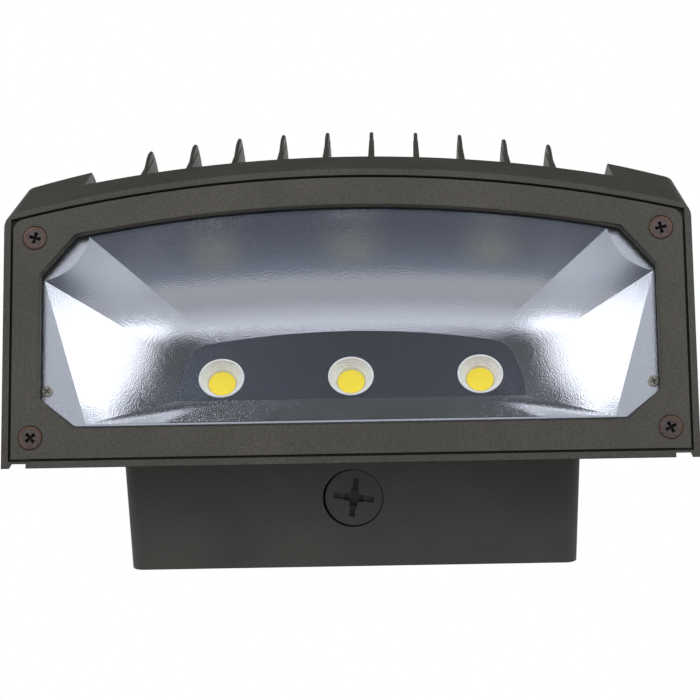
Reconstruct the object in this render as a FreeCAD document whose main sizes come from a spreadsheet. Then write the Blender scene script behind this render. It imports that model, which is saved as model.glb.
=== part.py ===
import FreeCAD, Part
import math
import os
import Sketcher
from FreeCAD import Placement, Rotation, Vector

# Wall pack light: a die-cast LED head hinged at its bottom edge to a junction box on the wall.
# Frame: +Z up, the wall is the plane y = 0, the light looks towards -Y, origin at the middle of the
# four fixing holes on the back of the box.

os.makedirs("parts", exist_ok=True)
doc = FreeCAD.newDocument("wall_pack_light")

# ---------------------------------------------------------------- driving dimensions (mm, degrees)
DIMENSIONS = [
    ("head_width", 298.0, "housing over its side walls"),
    ("head_height", 172.2, "housing at its rear, in the middle"),
    ("head_drop", 25.0, "housing below the underside of the box"),
    ("lens_slope", 23.0, "lens plane from level, degrees"),
    ("apron_lean", 2.8, "front apron leans out by, degrees"),
    ("plan_radius", 671.0, "front of the head in plan"),
    ("crown_radius", 82.7, "top of the head seen from the side"),
    ("crown_middle", 44.65, "middle of that arc ahead of the rear face"),
    ("crown_sweep", 415.0, "radius that the crown arc is swept about, at a fin tip"),
    ("crown_tilt", 51.8, "crown axis from upright, degrees"),
    ("tip_height", 120.0, "fin tips above the rear corner, in the middle"),
    ("corner_round", 6.0, "front corners of the housing"),
    ("casting_wall", 3.5, "general wall of the casting"),
    ("frame_width", 290.0, "lens frame"),
    ("frame_length", 121.0, "lens frame in the middle, rear to front"),
    ("frame_thick", 3.2, "lens frame plate"),
    ("frame_radius", 620.0, "arched front edge of the lens frame"),
    ("frame_round", 5.5, "front corners of the lens frame"),
    ("rim_gap", 1.1, "gap between lens frame and housing rim"),
    ("lip_thick", 3.0, "rear lip of the housing under the frame"),
    ("opening_width", 266.0, "lens opening"),
    ("opening_border", 12.8, "rear border of the lens frame"),
    ("opening_length", 95.7, "lens opening in the middle"),
    ("opening_bevel", 1.8, "bevel round the lens opening"),
    ("glass_thick", 4.0, "lens glass"),
    ("glass_lap", 4.5, "glass under the frame"),
    ("seal_thick", 0.8, "gasket above and below the glass"),
    ("reflector_sheet", 1.0, "reflector wall"),
    ("reflector_gap", 1.0, "glass to reflector flange"),
    ("led_tilt", 46.0, "LED boards from level, degrees"),
    ("led_pitch", 56.7, "between LED centres"),
    ("led_run", 41.0, "LED row ahead of the lip, along the lens plane"),
    ("led_depth", 22.5, "LED row behind the lens plane"),
    ("led_hole", 19.4, "hole in the reflector for an LED"),
    ("led_disc", 11.8, "yellow light-emitting disc"),
    ("led_recess", 4.4, "disc below the reflector panel"),
    ("board_side", 24.0, "LED board"),
    ("board_thick", 1.6, "LED board"),
    ("pad_thick", 0.5, "thermal pad under a board"),
    ("web_thick", 8.0, "casting behind the LED boards"),
    ("fin_count", 10, "cooling fins"),
    ("fin_pitch", 20.4, "between fin centres"),
    ("fin_root", 2.9, "fin thickness at the floor between fins"),
    ("fin_tip", 1.7, "fin thickness at the top"),
    ("shoulder_face", 118.5, "inner face of the end shoulders from the middle"),
    ("apron_height", 78.0, "front edge of the floor between fins"),
    ("floor_fall", 4.0, "floor between fins falls to the rear, degrees"),
    ("bay_depth", 52.0, "driver bay from the rear face"),
    ("bay_width", 184.0, "driver bay"),
    ("bay_top", 145.0, "driver bay roof above the rear corner"),
    ("groove_depth", 10.0, "grooves over the driver bay"),
    ("box_width", 200.0, "junction box at its front"),
    ("box_height", 128.0, "junction box at its front"),
    ("box_depth", 53.0, "junction box"),
    ("box_wall", 3.6, "junction box walls"),
    ("box_draft", 1.6, "junction box narrows to the wall, degrees"),
    ("box_round", 5.0, "junction box corners"),
    ("box_seal", 2.0, "gasket between head and box"),
    ("seal_width", 5.0, "that gasket, across"),
    ("plug_bore", 26.7, "threaded conduit entry"),
    ("plug_set", 31.6, "conduit entries from the wall"),
    ("plug_length", 11.0, "conduit plug"),
    ("boss_wall", 3.4, "collar round a conduit entry"),
    ("lag_spacing_x", 120.0, "fixing holes, across"),
    ("lag_spacing_z", 80.0, "fixing holes, up"),
    ("lag_hole", 7.0, "fixing holes"),
    ("feed_hole", 28.6, "supply entry in the back of the box"),
    ("hinge_rise", 19.0, "hinge axis above the rear corner"),
    ("hinge_inset", 1.0, "hinge axis ahead of the rear face"),
    ("hinge_spread", 74.0, "hinges from the middle"),
    ("hinge_pin", 4.0, "hinge pin"),
    ("hinge_play", 0.05, "pin to knuckle, radial"),
    ("hinge_eye", 8.6, "hinge eyes, outside"),
    ("knuckle_width", 14.0, "hinge knuckle on the head"),
    ("ear_width", 5.0, "hinge ear on the box"),
    ("ear_gap", 0.4, "ear to knuckle"),
    ("closing_spread", 61.2, "closing screws from the middle"),
    ("closing_height", 163.5, "closing screws above the rear corner"),
    ("closing_thread", 4.8, "closing screws"),
    ("closing_head", 8.4, "their heads"),
    ("closing_seat", 6.0, "casting under their heads"),
    ("frame_screw", 4.8, "lens frame screws"),
    ("frame_screw_head", 10.2, "their countersunk heads"),
    ("small_screw", 2.8, "reflector and driver screws"),
    ("small_head", 5.0, "their heads"),
    ("play", 0.3, "clearance between pieces that lie in one another"),
]

sheet = doc.addObject("Spreadsheet::Sheet", "Dims")
for row, (alias, value, note) in enumerate(DIMENSIONS, start=1):
    sheet.set(f"A{row}", alias)
    sheet.set(f"B{row}", str(value))
    sheet.set(f"C{row}", note)
    sheet.setAlias(f"B{row}", alias)
doc.recompute()


class Size:
    """A length, angle or ratio that knows its value and the sheet expression it comes from."""

    def __init__(self, value, text):
        self.value = float(value)
        self.text = text

    def __add__(self, other):
        other = size(other)
        return Size(self.value + other.value, f"({self.text} + {other.text})")

    def __sub__(self, other):
        other = size(other)
        return Size(self.value - other.value, f"({self.text} - {other.text})")

    def __mul__(self, other):
        other = size(other)
        return Size(self.value * other.value, f"({self.text} * {other.text})")

    def __truediv__(self, other):
        other = size(other)
        return Size(self.value / other.value, f"({self.text} / {other.text})")

    def __radd__(self, other):
        return size(other) + self

    def __rsub__(self, other):
        return size(other) - self

    def __rmul__(self, other):
        return size(other) * self

    def __neg__(self):
        return Size(-self.value, f"(0 - {self.text})")


def size(thing):
    return thing if isinstance(thing, Size) else Size(thing, f"{float(thing):.9g}")


def dim(alias):
    return Size(sheet.get(alias), f"Dims.{alias}")


def sine(angle):
    return Size(math.sin(math.radians(angle.value)), f"sin({angle.text})")


def cosine(angle):
    return Size(math.cos(math.radians(angle.value)), f"cos({angle.text})")


def tangent(angle):
    return Size(math.tan(math.radians(angle.value)), f"tan({angle.text})")


def root(square):
    return Size(math.sqrt(square.value), f"sqrt({square.text})")


def bind(thing, prop, value):
    """Set a property of an object to a size and tie it to the sheet."""
    value = size(value)
    if "." not in prop:
        setattr(thing, prop, value.value)
    thing.setExpression(prop, value.text)


# ---------------------------------------------------------------- frames that the pieces are drawn in
rear = dim("box_depth") + dim("box_seal")           # rear face of the head from the wall
floor_z = (dim("box_height") / 2 + dim("head_drop"))  # rear corner of the head below the origin
slope = dim("lens_slope")
tilt = dim("led_tilt")
led_ahead = dim("led_run") * cosine(slope) - dim("led_depth") * sine(slope)
led_above = dim("led_run") * sine(slope) + dim("led_depth") * cosine(slope)

SIDE = Rotation(Vector(0, -1, 0), Vector(0, 0, 1), Vector(-1, 0, 0), "XYZ")   # x ahead, y up
FRONT = Rotation(Vector(1, 0, 0), Vector(0, 0, 1), Vector(0, -1, 0), "XYZ")   # x right, y up
LENS = Rotation(Vector(1, 0, 0), 180 - slope.value)                           # x right, y ahead
LED = Rotation(Vector(1, 0, 0), 180 - tilt.value)
LEVEL = Rotation()


def place(thing, x, y, z, turn=LEVEL):
    """Put an object at a point given by sizes, tied to the sheet."""
    spot = [size(x), size(y), size(z)]
    thing.Placement = Placement(Vector(*[s.value for s in spot]), turn)
    for axis, s in zip("xyz", spot):
        thing.setExpression(f"Placement.Base.{axis}", s.text)


def in_head(thing, turn, ahead=0.0, up=0.0, x=0.0):
    """Put an object in the head, by its distance ahead of and above the rear corner."""
    place(thing, x, -(rear + ahead), size(up) - floor_z, turn)


def in_lens(thing, depth, x=0.0, run=0.0):
    """Put an object on a plane at a depth behind the lens plane."""
    depth = size(depth)
    run = size(run)
    ahead = run * cosine(slope) - depth * sine(slope)
    in_head(thing, LENS, ahead, run * sine(slope) + depth * cosine(slope), x)


def on_led_plane(thing, depth, x=0.0, run=0.0):
    """Put an object at a depth behind the reflector's LED panel."""
    depth = size(depth)
    run = size(run)
    ahead = led_ahead + run * cosine(tilt) - depth * sine(tilt)
    in_head(thing, LED, ahead, led_above + run * sine(tilt) + depth * cosine(tilt), x)


# ---------------------------------------------------------------- sketch and feature helpers
def add_outline(sketch, corners, arcs=None):
    """Draw one closed outline, anticlockwise. arcs gives, for the corner an arc starts at, its radius."""
    arcs = arcs or {}
    corners = [(size(x), size(y)) for x, y in corners]
    points = [Vector(x.value, y.value, 0) for x, y in corners]
    first = sketch.GeometryCount
    total = len(points)
    for i in range(total):
        start, end = points[i], points[(i + 1) % total]
        if i in arcs:
            chord = end.sub(start)
            middle = start.add(end).multiply(0.5)
            across = Vector(-chord.y, chord.x, 0).normalize()
            radius = size(arcs[i]).value
            centre = middle.add(across.multiply(math.sqrt(radius ** 2 - (chord.Length / 2) ** 2)))
            a0 = math.atan2(start.y - centre.y, start.x - centre.x)
            a1 = math.atan2(end.y - centre.y, end.x - centre.x)
            circle = Part.Circle(centre, Vector(0, 0, 1), radius)
            sketch.addGeometry(Part.ArcOfCircle(circle, a0, a1), False)
        else:
            sketch.addGeometry(Part.LineSegment(start, end), False)
    for i in range(total):
        here = first + i
        following = first + (i + 1) % total
        sketch.addConstraint(Sketcher.Constraint("Coincident", here, 2, following, 1))
        for kind, value in zip(("DistanceX", "DistanceY"), corners[i]):
            number = sketch.addConstraint(Sketcher.Constraint(kind, -1, 1, here, 1, value.value))
            sketch.setExpression(f"Constraints[{number}]", value.text)
        if i in arcs:
            radius = size(arcs[i])
            number = sketch.addConstraint(Sketcher.Constraint("Radius", here, radius.value))
            sketch.setExpression(f"Constraints[{number}]", radius.text)


def add_circle(sketch, x, y, diameter):
    x, y, radius = size(x), size(y), size(diameter) / 2
    centre = Vector(x.value, y.value, 0)
    here = sketch.addGeometry(Part.Circle(centre, Vector(0, 0, 1), radius.value), False)
    for kind, value in zip(("DistanceX", "DistanceY"), (x, y)):
        number = sketch.addConstraint(Sketcher.Constraint(kind, -1, 1, here, 3, value.value))
        sketch.setExpression(f"Constraints[{number}]", value.text)
    number = sketch.addConstraint(Sketcher.Constraint("Radius", here, radius.value))
    sketch.setExpression(f"Constraints[{number}]", radius.text)


def box_corners(left, bottom, right, top):
    return [(left, bottom), (right, bottom), (right, top), (left, top)]


def free_sketch(name):
    return doc.addObject("Sketcher::SketchObject", name)


def prism(name, sketch, length, both_ways=False):
    """Extrude a sketch along its own normal."""
    solid = doc.addObject("Part::Extrusion", name)
    solid.Base = sketch
    solid.DirMode = "Normal"
    solid.Solid = True
    solid.Symmetric = both_ways
    bind(solid, "LengthFwd", length)
    return solid


def side_prism(name, corners, width, arcs=None, x=0.0):
    """A prism along X from an outline given ahead of and above the rear corner of the head."""
    sketch = free_sketch(name + "_side")
    add_outline(sketch, corners, arcs)
    in_head(sketch, SIDE, x=x)
    return prism(name, sketch, width, both_ways=True)


def combine(kind, name, pieces):
    solid = doc.addObject(f"Part::{kind}", name)
    solid.Shapes = pieces
    return solid


def cut(name, base, tool):
    solid = doc.addObject("Part::Cut", name)
    solid.Base = base
    solid.Tool = tool
    return solid


def cylinder(name, diameter, height):
    solid = doc.addObject("Part::Cylinder", name)
    bind(solid, "Radius", size(diameter) / 2)
    bind(solid, "Height", height)
    return solid


def cone(name, diameter, end_diameter, height):
    solid = doc.addObject("Part::Cone", name)
    bind(solid, "Radius1", size(diameter) / 2)
    bind(solid, "Radius2", size(end_diameter) / 2)
    bind(solid, "Height", height)
    return solid


def block(name, length, width, height):
    solid = doc.addObject("Part::Box", name)
    bind(solid, "Length", length)
    bind(solid, "Width", width)
    bind(solid, "Height", height)
    return solid


def new_body(name):
    return doc.addObject("PartDesign::Body", name)


def body_sketch(body, role, depth=0.0):
    """A sketch on one of the body's own origin planes, lifted along the plane's normal."""
    plane = [f for f in body.Origin.OriginFeatures if f.Role == role][0]
    sketch = body.newObject("Sketcher::SketchObject", f"{body.Name}_sketch{len(body.Group)}")
    sketch.AttachmentSupport = [(plane, "")]
    sketch.MapMode = "FlatFace"
    depth = size(depth)
    sketch.AttachmentOffset = Placement(Vector(0, 0, depth.value), Rotation())
    sketch.setExpression("AttachmentOffset.Base.z", depth.text)
    return sketch


def pad(body, sketch, length, taper=None):
    feature = body.newObject("PartDesign::Pad", f"{body.Name}_pad{len(body.Group)}")
    feature.Profile = sketch
    bind(feature, "Length", length)
    if taper is not None:
        bind(feature, "TaperAngle", taper)
    return feature


def pocket(body, sketch, length, taper=None):
    """Cut a sketch down into the body, against the sketch's normal, and check that it cut."""
    doc.recompute()
    before = body.Shape.Volume
    feature = body.newObject("PartDesign::Pocket", f"{body.Name}_pocket{len(body.Group)}")
    feature.Profile = sketch
    bind(feature, "Length", length)
    if taper is not None:
        bind(feature, "TaperAngle", taper)
    doc.recompute()
    if body.Shape.Volume >= before - 1e-6:
        raise RuntimeError(f"{feature.Name} cuts nothing")
    return feature


def round_edges(body, radius, wanted):
    """Fillet the edges of the body's last feature that the test picks."""
    doc.recompute()
    base = body.Tip
    names = [f"Edge{i}" for i, edge in enumerate(base.Shape.Edges, start=1) if wanted(edge)]
    feature = body.newObject("PartDesign::Fillet", f"{body.Name}_fillet{len(body.Group)}")
    feature.Base = (base, names)
    bind(feature, "Radius", radius)
    return feature


def is_upright(edge):
    """True for a straight edge along the body's Z."""
    ends = edge.Vertexes
    if len(ends) != 2:
        return False
    step = ends[1].Point.sub(ends[0].Point)
    return step.Length > 1 and math.hypot(step.x, step.y) < 0.15 * step.Length


nodes = []


def keep(thing, label):
    """Name a finished sub-part; its label is its file's name."""
    thing.Label = label
    nodes.append(thing)
    return thing


# ---------------------------------------------------------------- outlines shared by frame, glass, seals, housing
half_open = dim("opening_width") / 2
frame_start = dim("lip_thick") + dim("rim_gap")
frame_end = frame_start + dim("frame_length")
open_start = frame_start + dim("opening_border")
open_end = open_start + dim("opening_length")
glass_top = dim("frame_thick") + dim("seal_thick")
glass_bottom = glass_top + dim("glass_thick")
ledge = glass_bottom + dim("seal_thick")
flange_top = glass_bottom + dim("reflector_gap")
flange_bottom = flange_top + dim("reflector_sheet") * 1.5

REAR_CHAMFER = (13.7, 13.4)     # lens opening, cut off its rear corners
FRONT_CHAMFER = (15.2, 17.1)    # lens opening, cut off its front corners
OPEN_RADIUS = 609.0             # arched front edge of the lens opening


def arch_drop(radius, half):
    """How far an arc falls from its middle to a half width."""
    radius = size(radius)
    return radius - root(radius * radius - half * half)


def opening_outline(grow):
    """The lens opening, grown evenly, as corners and the radius of its arched edge."""
    grow = size(grow)
    half = half_open + grow
    start = open_start - grow
    rear_x = half_open - REAR_CHAMFER[0] + grow * 0.41
    rear_y = open_start + REAR_CHAMFER[1] - grow * 0.42
    arch_x = half_open - FRONT_CHAMFER[0] + grow * 0.52
    radius = OPEN_RADIUS + grow
    arch_y = open_end + grow - arch_drop(radius, arch_x)
    front_y = arch_y - FRONT_CHAMFER[1] - grow * 0.54
    corners = [(-rear_x, start), (rear_x, start), (half, rear_y), (half, front_y), (arch_x, arch_y),
               (-arch_x, arch_y), (-half, front_y), (-half, rear_y)]
    return corners, {4: radius}


def frame_outline(grow):
    grow = size(grow)
    half = dim("frame_width") / 2 + grow
    radius = dim("frame_radius") + grow
    corner = frame_end + grow - arch_drop(radius, half)
    return box_corners(-half, frame_start - grow, half, corner), {2: radius}


def lens_plate(name, depth, thick, outside, inside=None):
    """A flat plate in the lens frame; its rear face lies at the depth behind the lens plane."""
    body = new_body(name)
    sketch = body_sketch(body, "XY_Plane")
    add_outline(sketch, *outside)
    if inside:
        add_outline(sketch, *inside)
    pad(body, sketch, thick)
    in_lens(body, depth)
    return body


def at_corner(points, reach=1.5):
    """A test for upright edges near given x, y points of a body."""
    def wanted(edge):
        if not is_upright(edge):
            return False
        middle = edge.CenterOfMass
        return any(math.hypot(middle.x - x, middle.y - y) < reach for x, y in points)
    return wanted


# ---------------------------------------------------------------- screw places on the lens frame
frame_screw_places = [
    (dim("frame_width") / 2 - 9.4, frame_start + 96.4),
    (dim("frame_width") / 2 - 8.3, frame_start + 9.0),
]
frame_screw_places += [(-x, y) for x, y in frame_screw_places]
REFLECTOR_SCREW = (half_open - 2.2, open_start + 17.4)
reflector_screw_places = [REFLECTOR_SCREW, (-REFLECTOR_SCREW[0], REFLECTOR_SCREW[1])]
LED_NAMES = ("left", "centre", "right")
COUNTERSINK = 45.0    # degrees from the screw's axis


def is_opening_edge(edge):
    """True for an edge of the lens opening on the outer face of the frame."""
    box = edge.BoundBox
    across = max(abs(box.XMin), abs(box.XMax)) < half_open.value + 1
    along = box.YMin > open_start.value - 1 and box.YMax < open_end.value + 1
    outside = box.ZLength < 0.01 and abs(box.ZMin - dim("frame_thick").value) < 0.01
    return across and along and outside


def make_lens_frame():
    body = lens_plate("lens_frame", dim("frame_thick"), dim("frame_thick"), frame_outline(0),
                      opening_outline(0))
    half = dim("frame_width").value / 2
    front = frame_outline(0)[0][2][1].value
    round_edges(body, dim("frame_round"), at_corner([(half, front), (-half, front)]))
    doc.recompute()
    base = body.Tip
    names = [f"Edge{i}" for i, edge in enumerate(base.Shape.Edges, start=1) if is_opening_edge(edge)]
    bevel = body.newObject("PartDesign::Chamfer", "lens_frame_bevel")
    bevel.Base = (base, names)
    bind(bevel, "Size", dim("opening_bevel"))
    for x, y in frame_screw_places:
        sketch = body_sketch(body, "XY_Plane", dim("frame_thick"))
        add_circle(sketch, x, y, dim("frame_screw_head") + dim("play") * 2)
        pocket(body, sketch, dim("frame_thick"), size(-COUNTERSINK))
    return keep(body, "lens_frame")


def make_glass():
    body = lens_plate("lens_glass", glass_bottom, dim("glass_thick"),
                      opening_outline(dim("glass_lap")))
    return keep(body, "lens_glass")


def make_lens_gasket():
    """A channel of rubber round the edge of the glass."""
    outer = dim("glass_lap") + 1.5
    body = lens_plate("gasket_ring", ledge, ledge - dim("frame_thick"), opening_outline(outer),
                      opening_outline(0.6))
    glass_space = lens_plate("glass_space", glass_bottom, dim("glass_thick"),
                             opening_outline(dim("glass_lap")))
    return keep(cut("gasket_channel", body, glass_space), "lens_gasket")


# ---------------------------------------------------------------- places used by more than one piece
DRIVER = {"left": -78.0, "right": 38.0, "height": 46.0, "thick": 29.0, "ear": 9.0, "ear_thick": 1.2}
driver_foot = dim("bay_top") - 57
driver_middle = driver_foot + DRIVER["height"] / 2


def driver_screw_places():
    return [DRIVER["left"] - DRIVER["ear"] / 2, DRIVER["right"] + DRIVER["ear"] / 2]


def led_places():
    return [(name, dim("led_pitch") * step) for name, step in zip(LED_NAMES, (-1, 0, 1))]


CUP_FOOT = 1.6
CUP_FLARE = -18.0     # degrees


# ---------------------------------------------------------------- housing
lean = dim("apron_lean")
half_head = dim("head_width") / 2
rim_end = frame_end + dim("rim_gap") + 2.9               # front rim in the middle, along the lens plane
rim_ahead = rim_end * cosine(slope)
rim_above = rim_end * sine(slope)
plan_axis = rim_ahead - dim("plan_radius")               # upright axis that the front is swept about
crown_base = dim("head_height") - dim("crown_radius")    # height of the crown arc's middle


def front_at(height, inset=0.0):
    """Front face of the head ahead of the rear face, in the middle, at a height."""
    return rim_ahead + (height - rim_above) * tangent(lean) - inset


def swept_front(name, inset):
    """The arched, leaning front of the head, swept about an upright axis behind the wall."""
    low, high = size(-30.0), dim("head_height") + 20
    sketch = free_sketch(name + "_side")
    rear_limit = size(-1.0)
    add_outline(sketch, [(rear_limit, low), (front_at(low, inset), low),
                         (front_at(high, inset), high), (rear_limit, high)])
    in_head(sketch, SIDE)
    solid = doc.addObject("Part::Revolution", name)
    solid.Source = sketch
    solid.Axis = Vector(0, 0, 1)
    bind(solid, "Base.y", -(rear + plan_axis))
    solid.Base = Vector(0, -(rear + plan_axis).value, 0)
    solid.Symmetric = True
    solid.Solid = True
    bind(solid, "Angle", 40.0)
    return solid


def swept_crown():
    """The rounded top of the head: a side arc swept about a tilted axis, so it falls to both ends."""
    radius, middle = dim("crown_radius"), dim("crown_middle")
    sketch = free_sketch("crown_side")
    nose = middle + radius
    add_outline(sketch, [(-20.0, -60.0), (nose, -60.0), (nose, crown_base),
                         (middle, dim("head_height")), (-20.0, dim("head_height"))], {2: radius})
    in_head(sketch, SIDE)
    crown_tilt = dim("crown_tilt")
    tip_ahead = front_at(dim("tip_height"))
    axis_ahead = tip_ahead - dim("crown_sweep") * cosine(crown_tilt)
    axis_above = dim("tip_height") - dim("crown_sweep") * sine(crown_tilt)
    solid = doc.addObject("Part::Revolution", "crown")
    solid.Source = sketch
    solid.Axis = Vector(0, sine(crown_tilt).value, cosine(crown_tilt).value)
    solid.Base = Vector(0, -(rear + axis_ahead).value, (axis_above - floor_z).value)
    bind(solid, "Base.y", -(rear + axis_ahead))
    bind(solid, "Base.z", axis_above - floor_z)
    solid.Symmetric = True
    solid.Solid = True
    bind(solid, "Angle", 90.0)
    return solid


def on_slope(run, depth):
    """Ahead and above, for a point along the lens plane and at a depth behind it."""
    run, depth = size(run), size(depth)
    return run * cosine(slope) - depth * sine(slope), run * sine(slope) + depth * cosine(slope)


def web_point(depth, ahead):
    """A point of the plane at a depth behind the LED panel, at a distance ahead of the rear face."""
    depth, ahead = size(depth), size(ahead)
    start = led_ahead - depth * sine(tilt)
    return ahead, led_above + depth * cosine(tilt) + (ahead - start) * tangent(tilt)


board_back = dim("led_recess") + 0.6 + dim("board_thick")     # rear of an LED board below the panel
web_front = board_back + dim("pad_thick")
web_rear = web_front + dim("web_thick")
gap_rear = dim("bay_depth") + dim("casting_wall")             # fins start here, ahead of the driver bay


def floor_between_fins(ahead, below=0.0):
    """A point of the floor between the fins, which falls to the rear."""
    ahead = size(ahead)
    front = front_at(dim("apron_height"))
    return ahead, dim("apron_height") - (front - ahead) * tangent(dim("floor_fall")) - below


def crown_fall(x):
    """How far the crown has fallen at a distance from the middle."""
    return x * x / (dim("crown_sweep") / sine(dim("crown_tilt")) * 2)


def make_envelope():
    side = side_prism("head_block", [(0.0, 0.0), on_slope(170.0, 0.0), (on_slope(170.0, 0.0)[0], 190.0),
                                     (0.0, 190.0)], dim("head_width"))
    envelope = combine("MultiCommon", "envelope", [swept_front("front", 0.0), swept_crown(), side])
    doc.recompute()
    names = []
    for i, edge in enumerate(envelope.Shape.Edges, start=1):
        box = edge.BoundBox
        upright = box.ZLength > 30 and box.YLength < 12 and box.XLength < 0.1
        if upright and box.YMax < -(rear.value + 60) and abs(abs(box.XMin) - half_head.value) < 0.1:
            names.append(i)
    rounded = doc.addObject("Part::Fillet", "rounded_envelope")
    rounded.Base = envelope
    radius = dim("corner_round").value
    rounded.Edges = [(i, radius, radius) for i in names]
    return rounded


def gap_edges():
    """Left and right sides of the gaps between fins, at their floor: the end gaps are wider."""
    pitch, half_root = dim("fin_pitch"), dim("fin_root") / 2
    count = int(dim("fin_count").value)
    centres = [pitch * (i - (count - 1) / 2) for i in range(count)]
    starts = [-dim("shoulder_face")] + [c + half_root for c in centres]
    ends = [c - half_root for c in centres] + [dim("shoulder_face")]
    return list(zip(starts, ends))


def make_fin_gaps():
    """Wedge-shaped gaps, so that every fin has draft."""
    flare = (dim("fin_root") - dim("fin_tip")) / 2
    low, high = size(40.0), dim("head_height") + 10
    tops = []
    front = free_sketch("gap_front")
    over = free_sketch("groove_front")
    for left, right in gap_edges():
        add_outline(front, [(left, low), (right, low), (right + flare, high), (left - flare, high)])
        middle = (left + right) / 2
        groove = dim("head_height") - crown_fall(middle) - dim("groove_depth")
        add_outline(over, [(left - flare, groove), (right + flare, groove), (right + flare, high),
                           (left - flare, high)])
    in_head(front, FRONT, gap_rear)
    in_head(over, FRONT, dim("closing_seat"))
    deep = prism("gap_deep", front, 100.0)
    grooves = prism("gap_grooves", over, gap_rear)
    reach = front_at(dim("apron_height")) + 30
    above = side_prism("above_floor", [floor_between_fins(gap_rear), floor_between_fins(reach),
                                       (reach, 200.0), (gap_rear, 200.0)], dim("head_width"))
    bounded = combine("MultiCommon", "gap_bounded", [deep, above])
    return [bounded, grooves]


def lens_prism(name, depth, outline):
    """Everything in front of a depth, inside an outline, out past the lens plane."""
    sketch = free_sketch(name + "_outline")
    add_outline(sketch, *outline)
    in_lens(sketch, depth)
    return prism(name, sketch, size(depth) + 12)


def reflector_outline(grow):
    """Mouth of the reflector in the flange plane."""
    grow = size(grow)
    rear_half, rear_run = size(114.0) + grow * 0.8, size(20.0) - grow
    side_half, side_run = size(132.5) + grow * 1.1, size(83.0) + grow * 0.3
    front_half, front_run = size(113.0) + grow * 0.5, size(103.0) + grow
    return ([(-rear_half, rear_run), (rear_half, rear_run), (side_half, side_run),
             (front_half, front_run), (-front_half, front_run), (-side_half, side_run)],
            {3: size(620.0)})


def make_light_chamber():
    """The hollow for the reflector: under the floor between the fins, ahead of the LED web."""
    wall = dim("casting_wall")
    rear_limit = dim("casting_wall") * 2
    roof_front = front_at(dim("apron_height"), wall)
    outline = reflector_outline(2.5)
    sketch = free_sketch("chamber_mouth")
    add_outline(sketch, *outline)
    in_lens(sketch, 62.0)
    straight = prism("chamber_straight", sketch, 74.0)
    reach = size(150.0)
    knee = size(58.0)
    side = side_prism("chamber_side", [
        (rear_limit, -20.0), (reach, -20.0), floor_between_fins(reach, wall + 0.5),
        floor_between_fins(knee, wall + 0.5), web_point(web_front, 54.0),
        web_point(web_front, rear_limit)], 290.0)
    main = combine("MultiCommon", "chamber_main", [straight, side])
    shelf = flange_bottom + 4
    core = side_prism("apron_core_side", [
        on_slope(70.0, shelf), on_slope(150.0, shelf), floor_between_fins(reach, wall + 0.5),
        floor_between_fins(knee + 6, wall + 0.5)], (dim("shoulder_face") + 4) * 2)
    front_core = combine("MultiCommon", "apron_core", [swept_front("front_inner", wall), core])
    return [main, front_core]


def make_driver_bay():
    """The bay behind the LED web, open to the box; narrower pockets beside it save metal."""
    top = dim("bay_top")
    seat = dim("head_drop") + dim("seal_width") + 1.0
    corners = [(-5.0, seat), web_point(web_rear, 3.0), web_point(web_rear, dim("bay_depth")),
               (dim("bay_depth"), top), (-5.0, top)]
    bay = side_prism("driver_bay", corners, dim("bay_width"))
    pockets = []
    start = dim("box_width") / 2 + 4
    width = half_head - dim("casting_wall") - start
    lower = top - 26
    ends = [(-5.0, seat), corners[1], corners[2], (dim("bay_depth"), lower), (-5.0, lower)]
    for number, sign in enumerate((-1, 1)):
        pockets.append(side_prism(f"end_pocket{number}", ends, width, x=(start + width / 2) * sign))
    return [bay] + pockets


def make_hinge_recess(number, x):
    """Room in the rear face for the box's ears to turn round the hinge axis."""
    rise, inset = dim("hinge_rise"), dim("hinge_inset")
    reach = dim("hinge_eye") / 2 + 0.8
    width = dim("knuckle_width") + (dim("ear_width") + dim("ear_gap")) * 2 + 2.0
    corners = box_corners(-5.0, rise - reach, inset + reach, rise + reach + 0.7)
    return side_prism(f"hinge_recess{number}", corners, width, x=x)


def make_knuckle(number, x):
    """The head's hinge eye, joined to the casting ahead of it."""
    rise, inset, eye = dim("hinge_rise"), dim("hinge_inset"), dim("hinge_eye")
    sketch = free_sketch(f"knuckle{number}_side")
    reach = eye / 2 + 2.4
    add_outline(sketch, [(inset, rise - eye / 2), (inset + reach, rise - eye / 2),
                         (inset + reach, rise + eye / 2), (inset, rise + eye / 2)], {3: eye / 2 + 0.001})
    in_head(sketch, SIDE, x=x)
    solid = prism(f"knuckle{number}", sketch, dim("knuckle_width"), both_ways=True)
    bore = cylinder(f"knuckle_bore{number}", dim("hinge_pin") + dim("hinge_play") * 2, 60.0)
    in_head(bore, Rotation(Vector(0, 1, 0), 90), inset, rise, x - 30)
    return solid, bore


def make_screw_holes():
    """Holes for the lens frame, reflector, driver and closing screws."""
    holes = []
    for number, (x, y) in enumerate(frame_screw_places):
        hole = cylinder(f"frame_hole{number}", dim("frame_screw"), 14.0)
        in_lens(hole, 16.0, x, y)
        holes.append(hole)
    for number, (x, y) in enumerate(reflector_screw_places):
        hole = cylinder(f"reflector_hole{number}", dim("small_screw"), 7.0)
        in_lens(hole, flange_bottom + 5.6, x, y)
        holes.append(hole)
    for number, x in enumerate(driver_screw_places()):
        hole = cylinder(f"driver_hole{number}", dim("small_screw"), 5.0)
        in_head(hole, FRONT, dim("bay_depth") - 1, driver_middle, x)
        holes.append(hole)
    for number, sign in enumerate((-1, 1)):
        x = dim("closing_spread") * sign
        hole = cylinder(f"closing_hole{number}", dim("closing_thread") + dim("play") * 2, 12.0)
        in_head(hole, FRONT, -2.0, dim("closing_height"), x)
        holes.append(hole)
    return holes


def make_lip_notches():
    """Two short drain notches between the rear lip and the side walls."""
    notches = []
    for number, sign in enumerate((-1, 1)):
        notch = side_prism(f"lip_notch{number}", box_corners(-5.0, -10.0, 1.8, dim("head_drop") - 3), 7.0,
                           x=(half_head - dim("casting_wall") - 3.5) * sign)
        notches.append(notch)
    return notches


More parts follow.
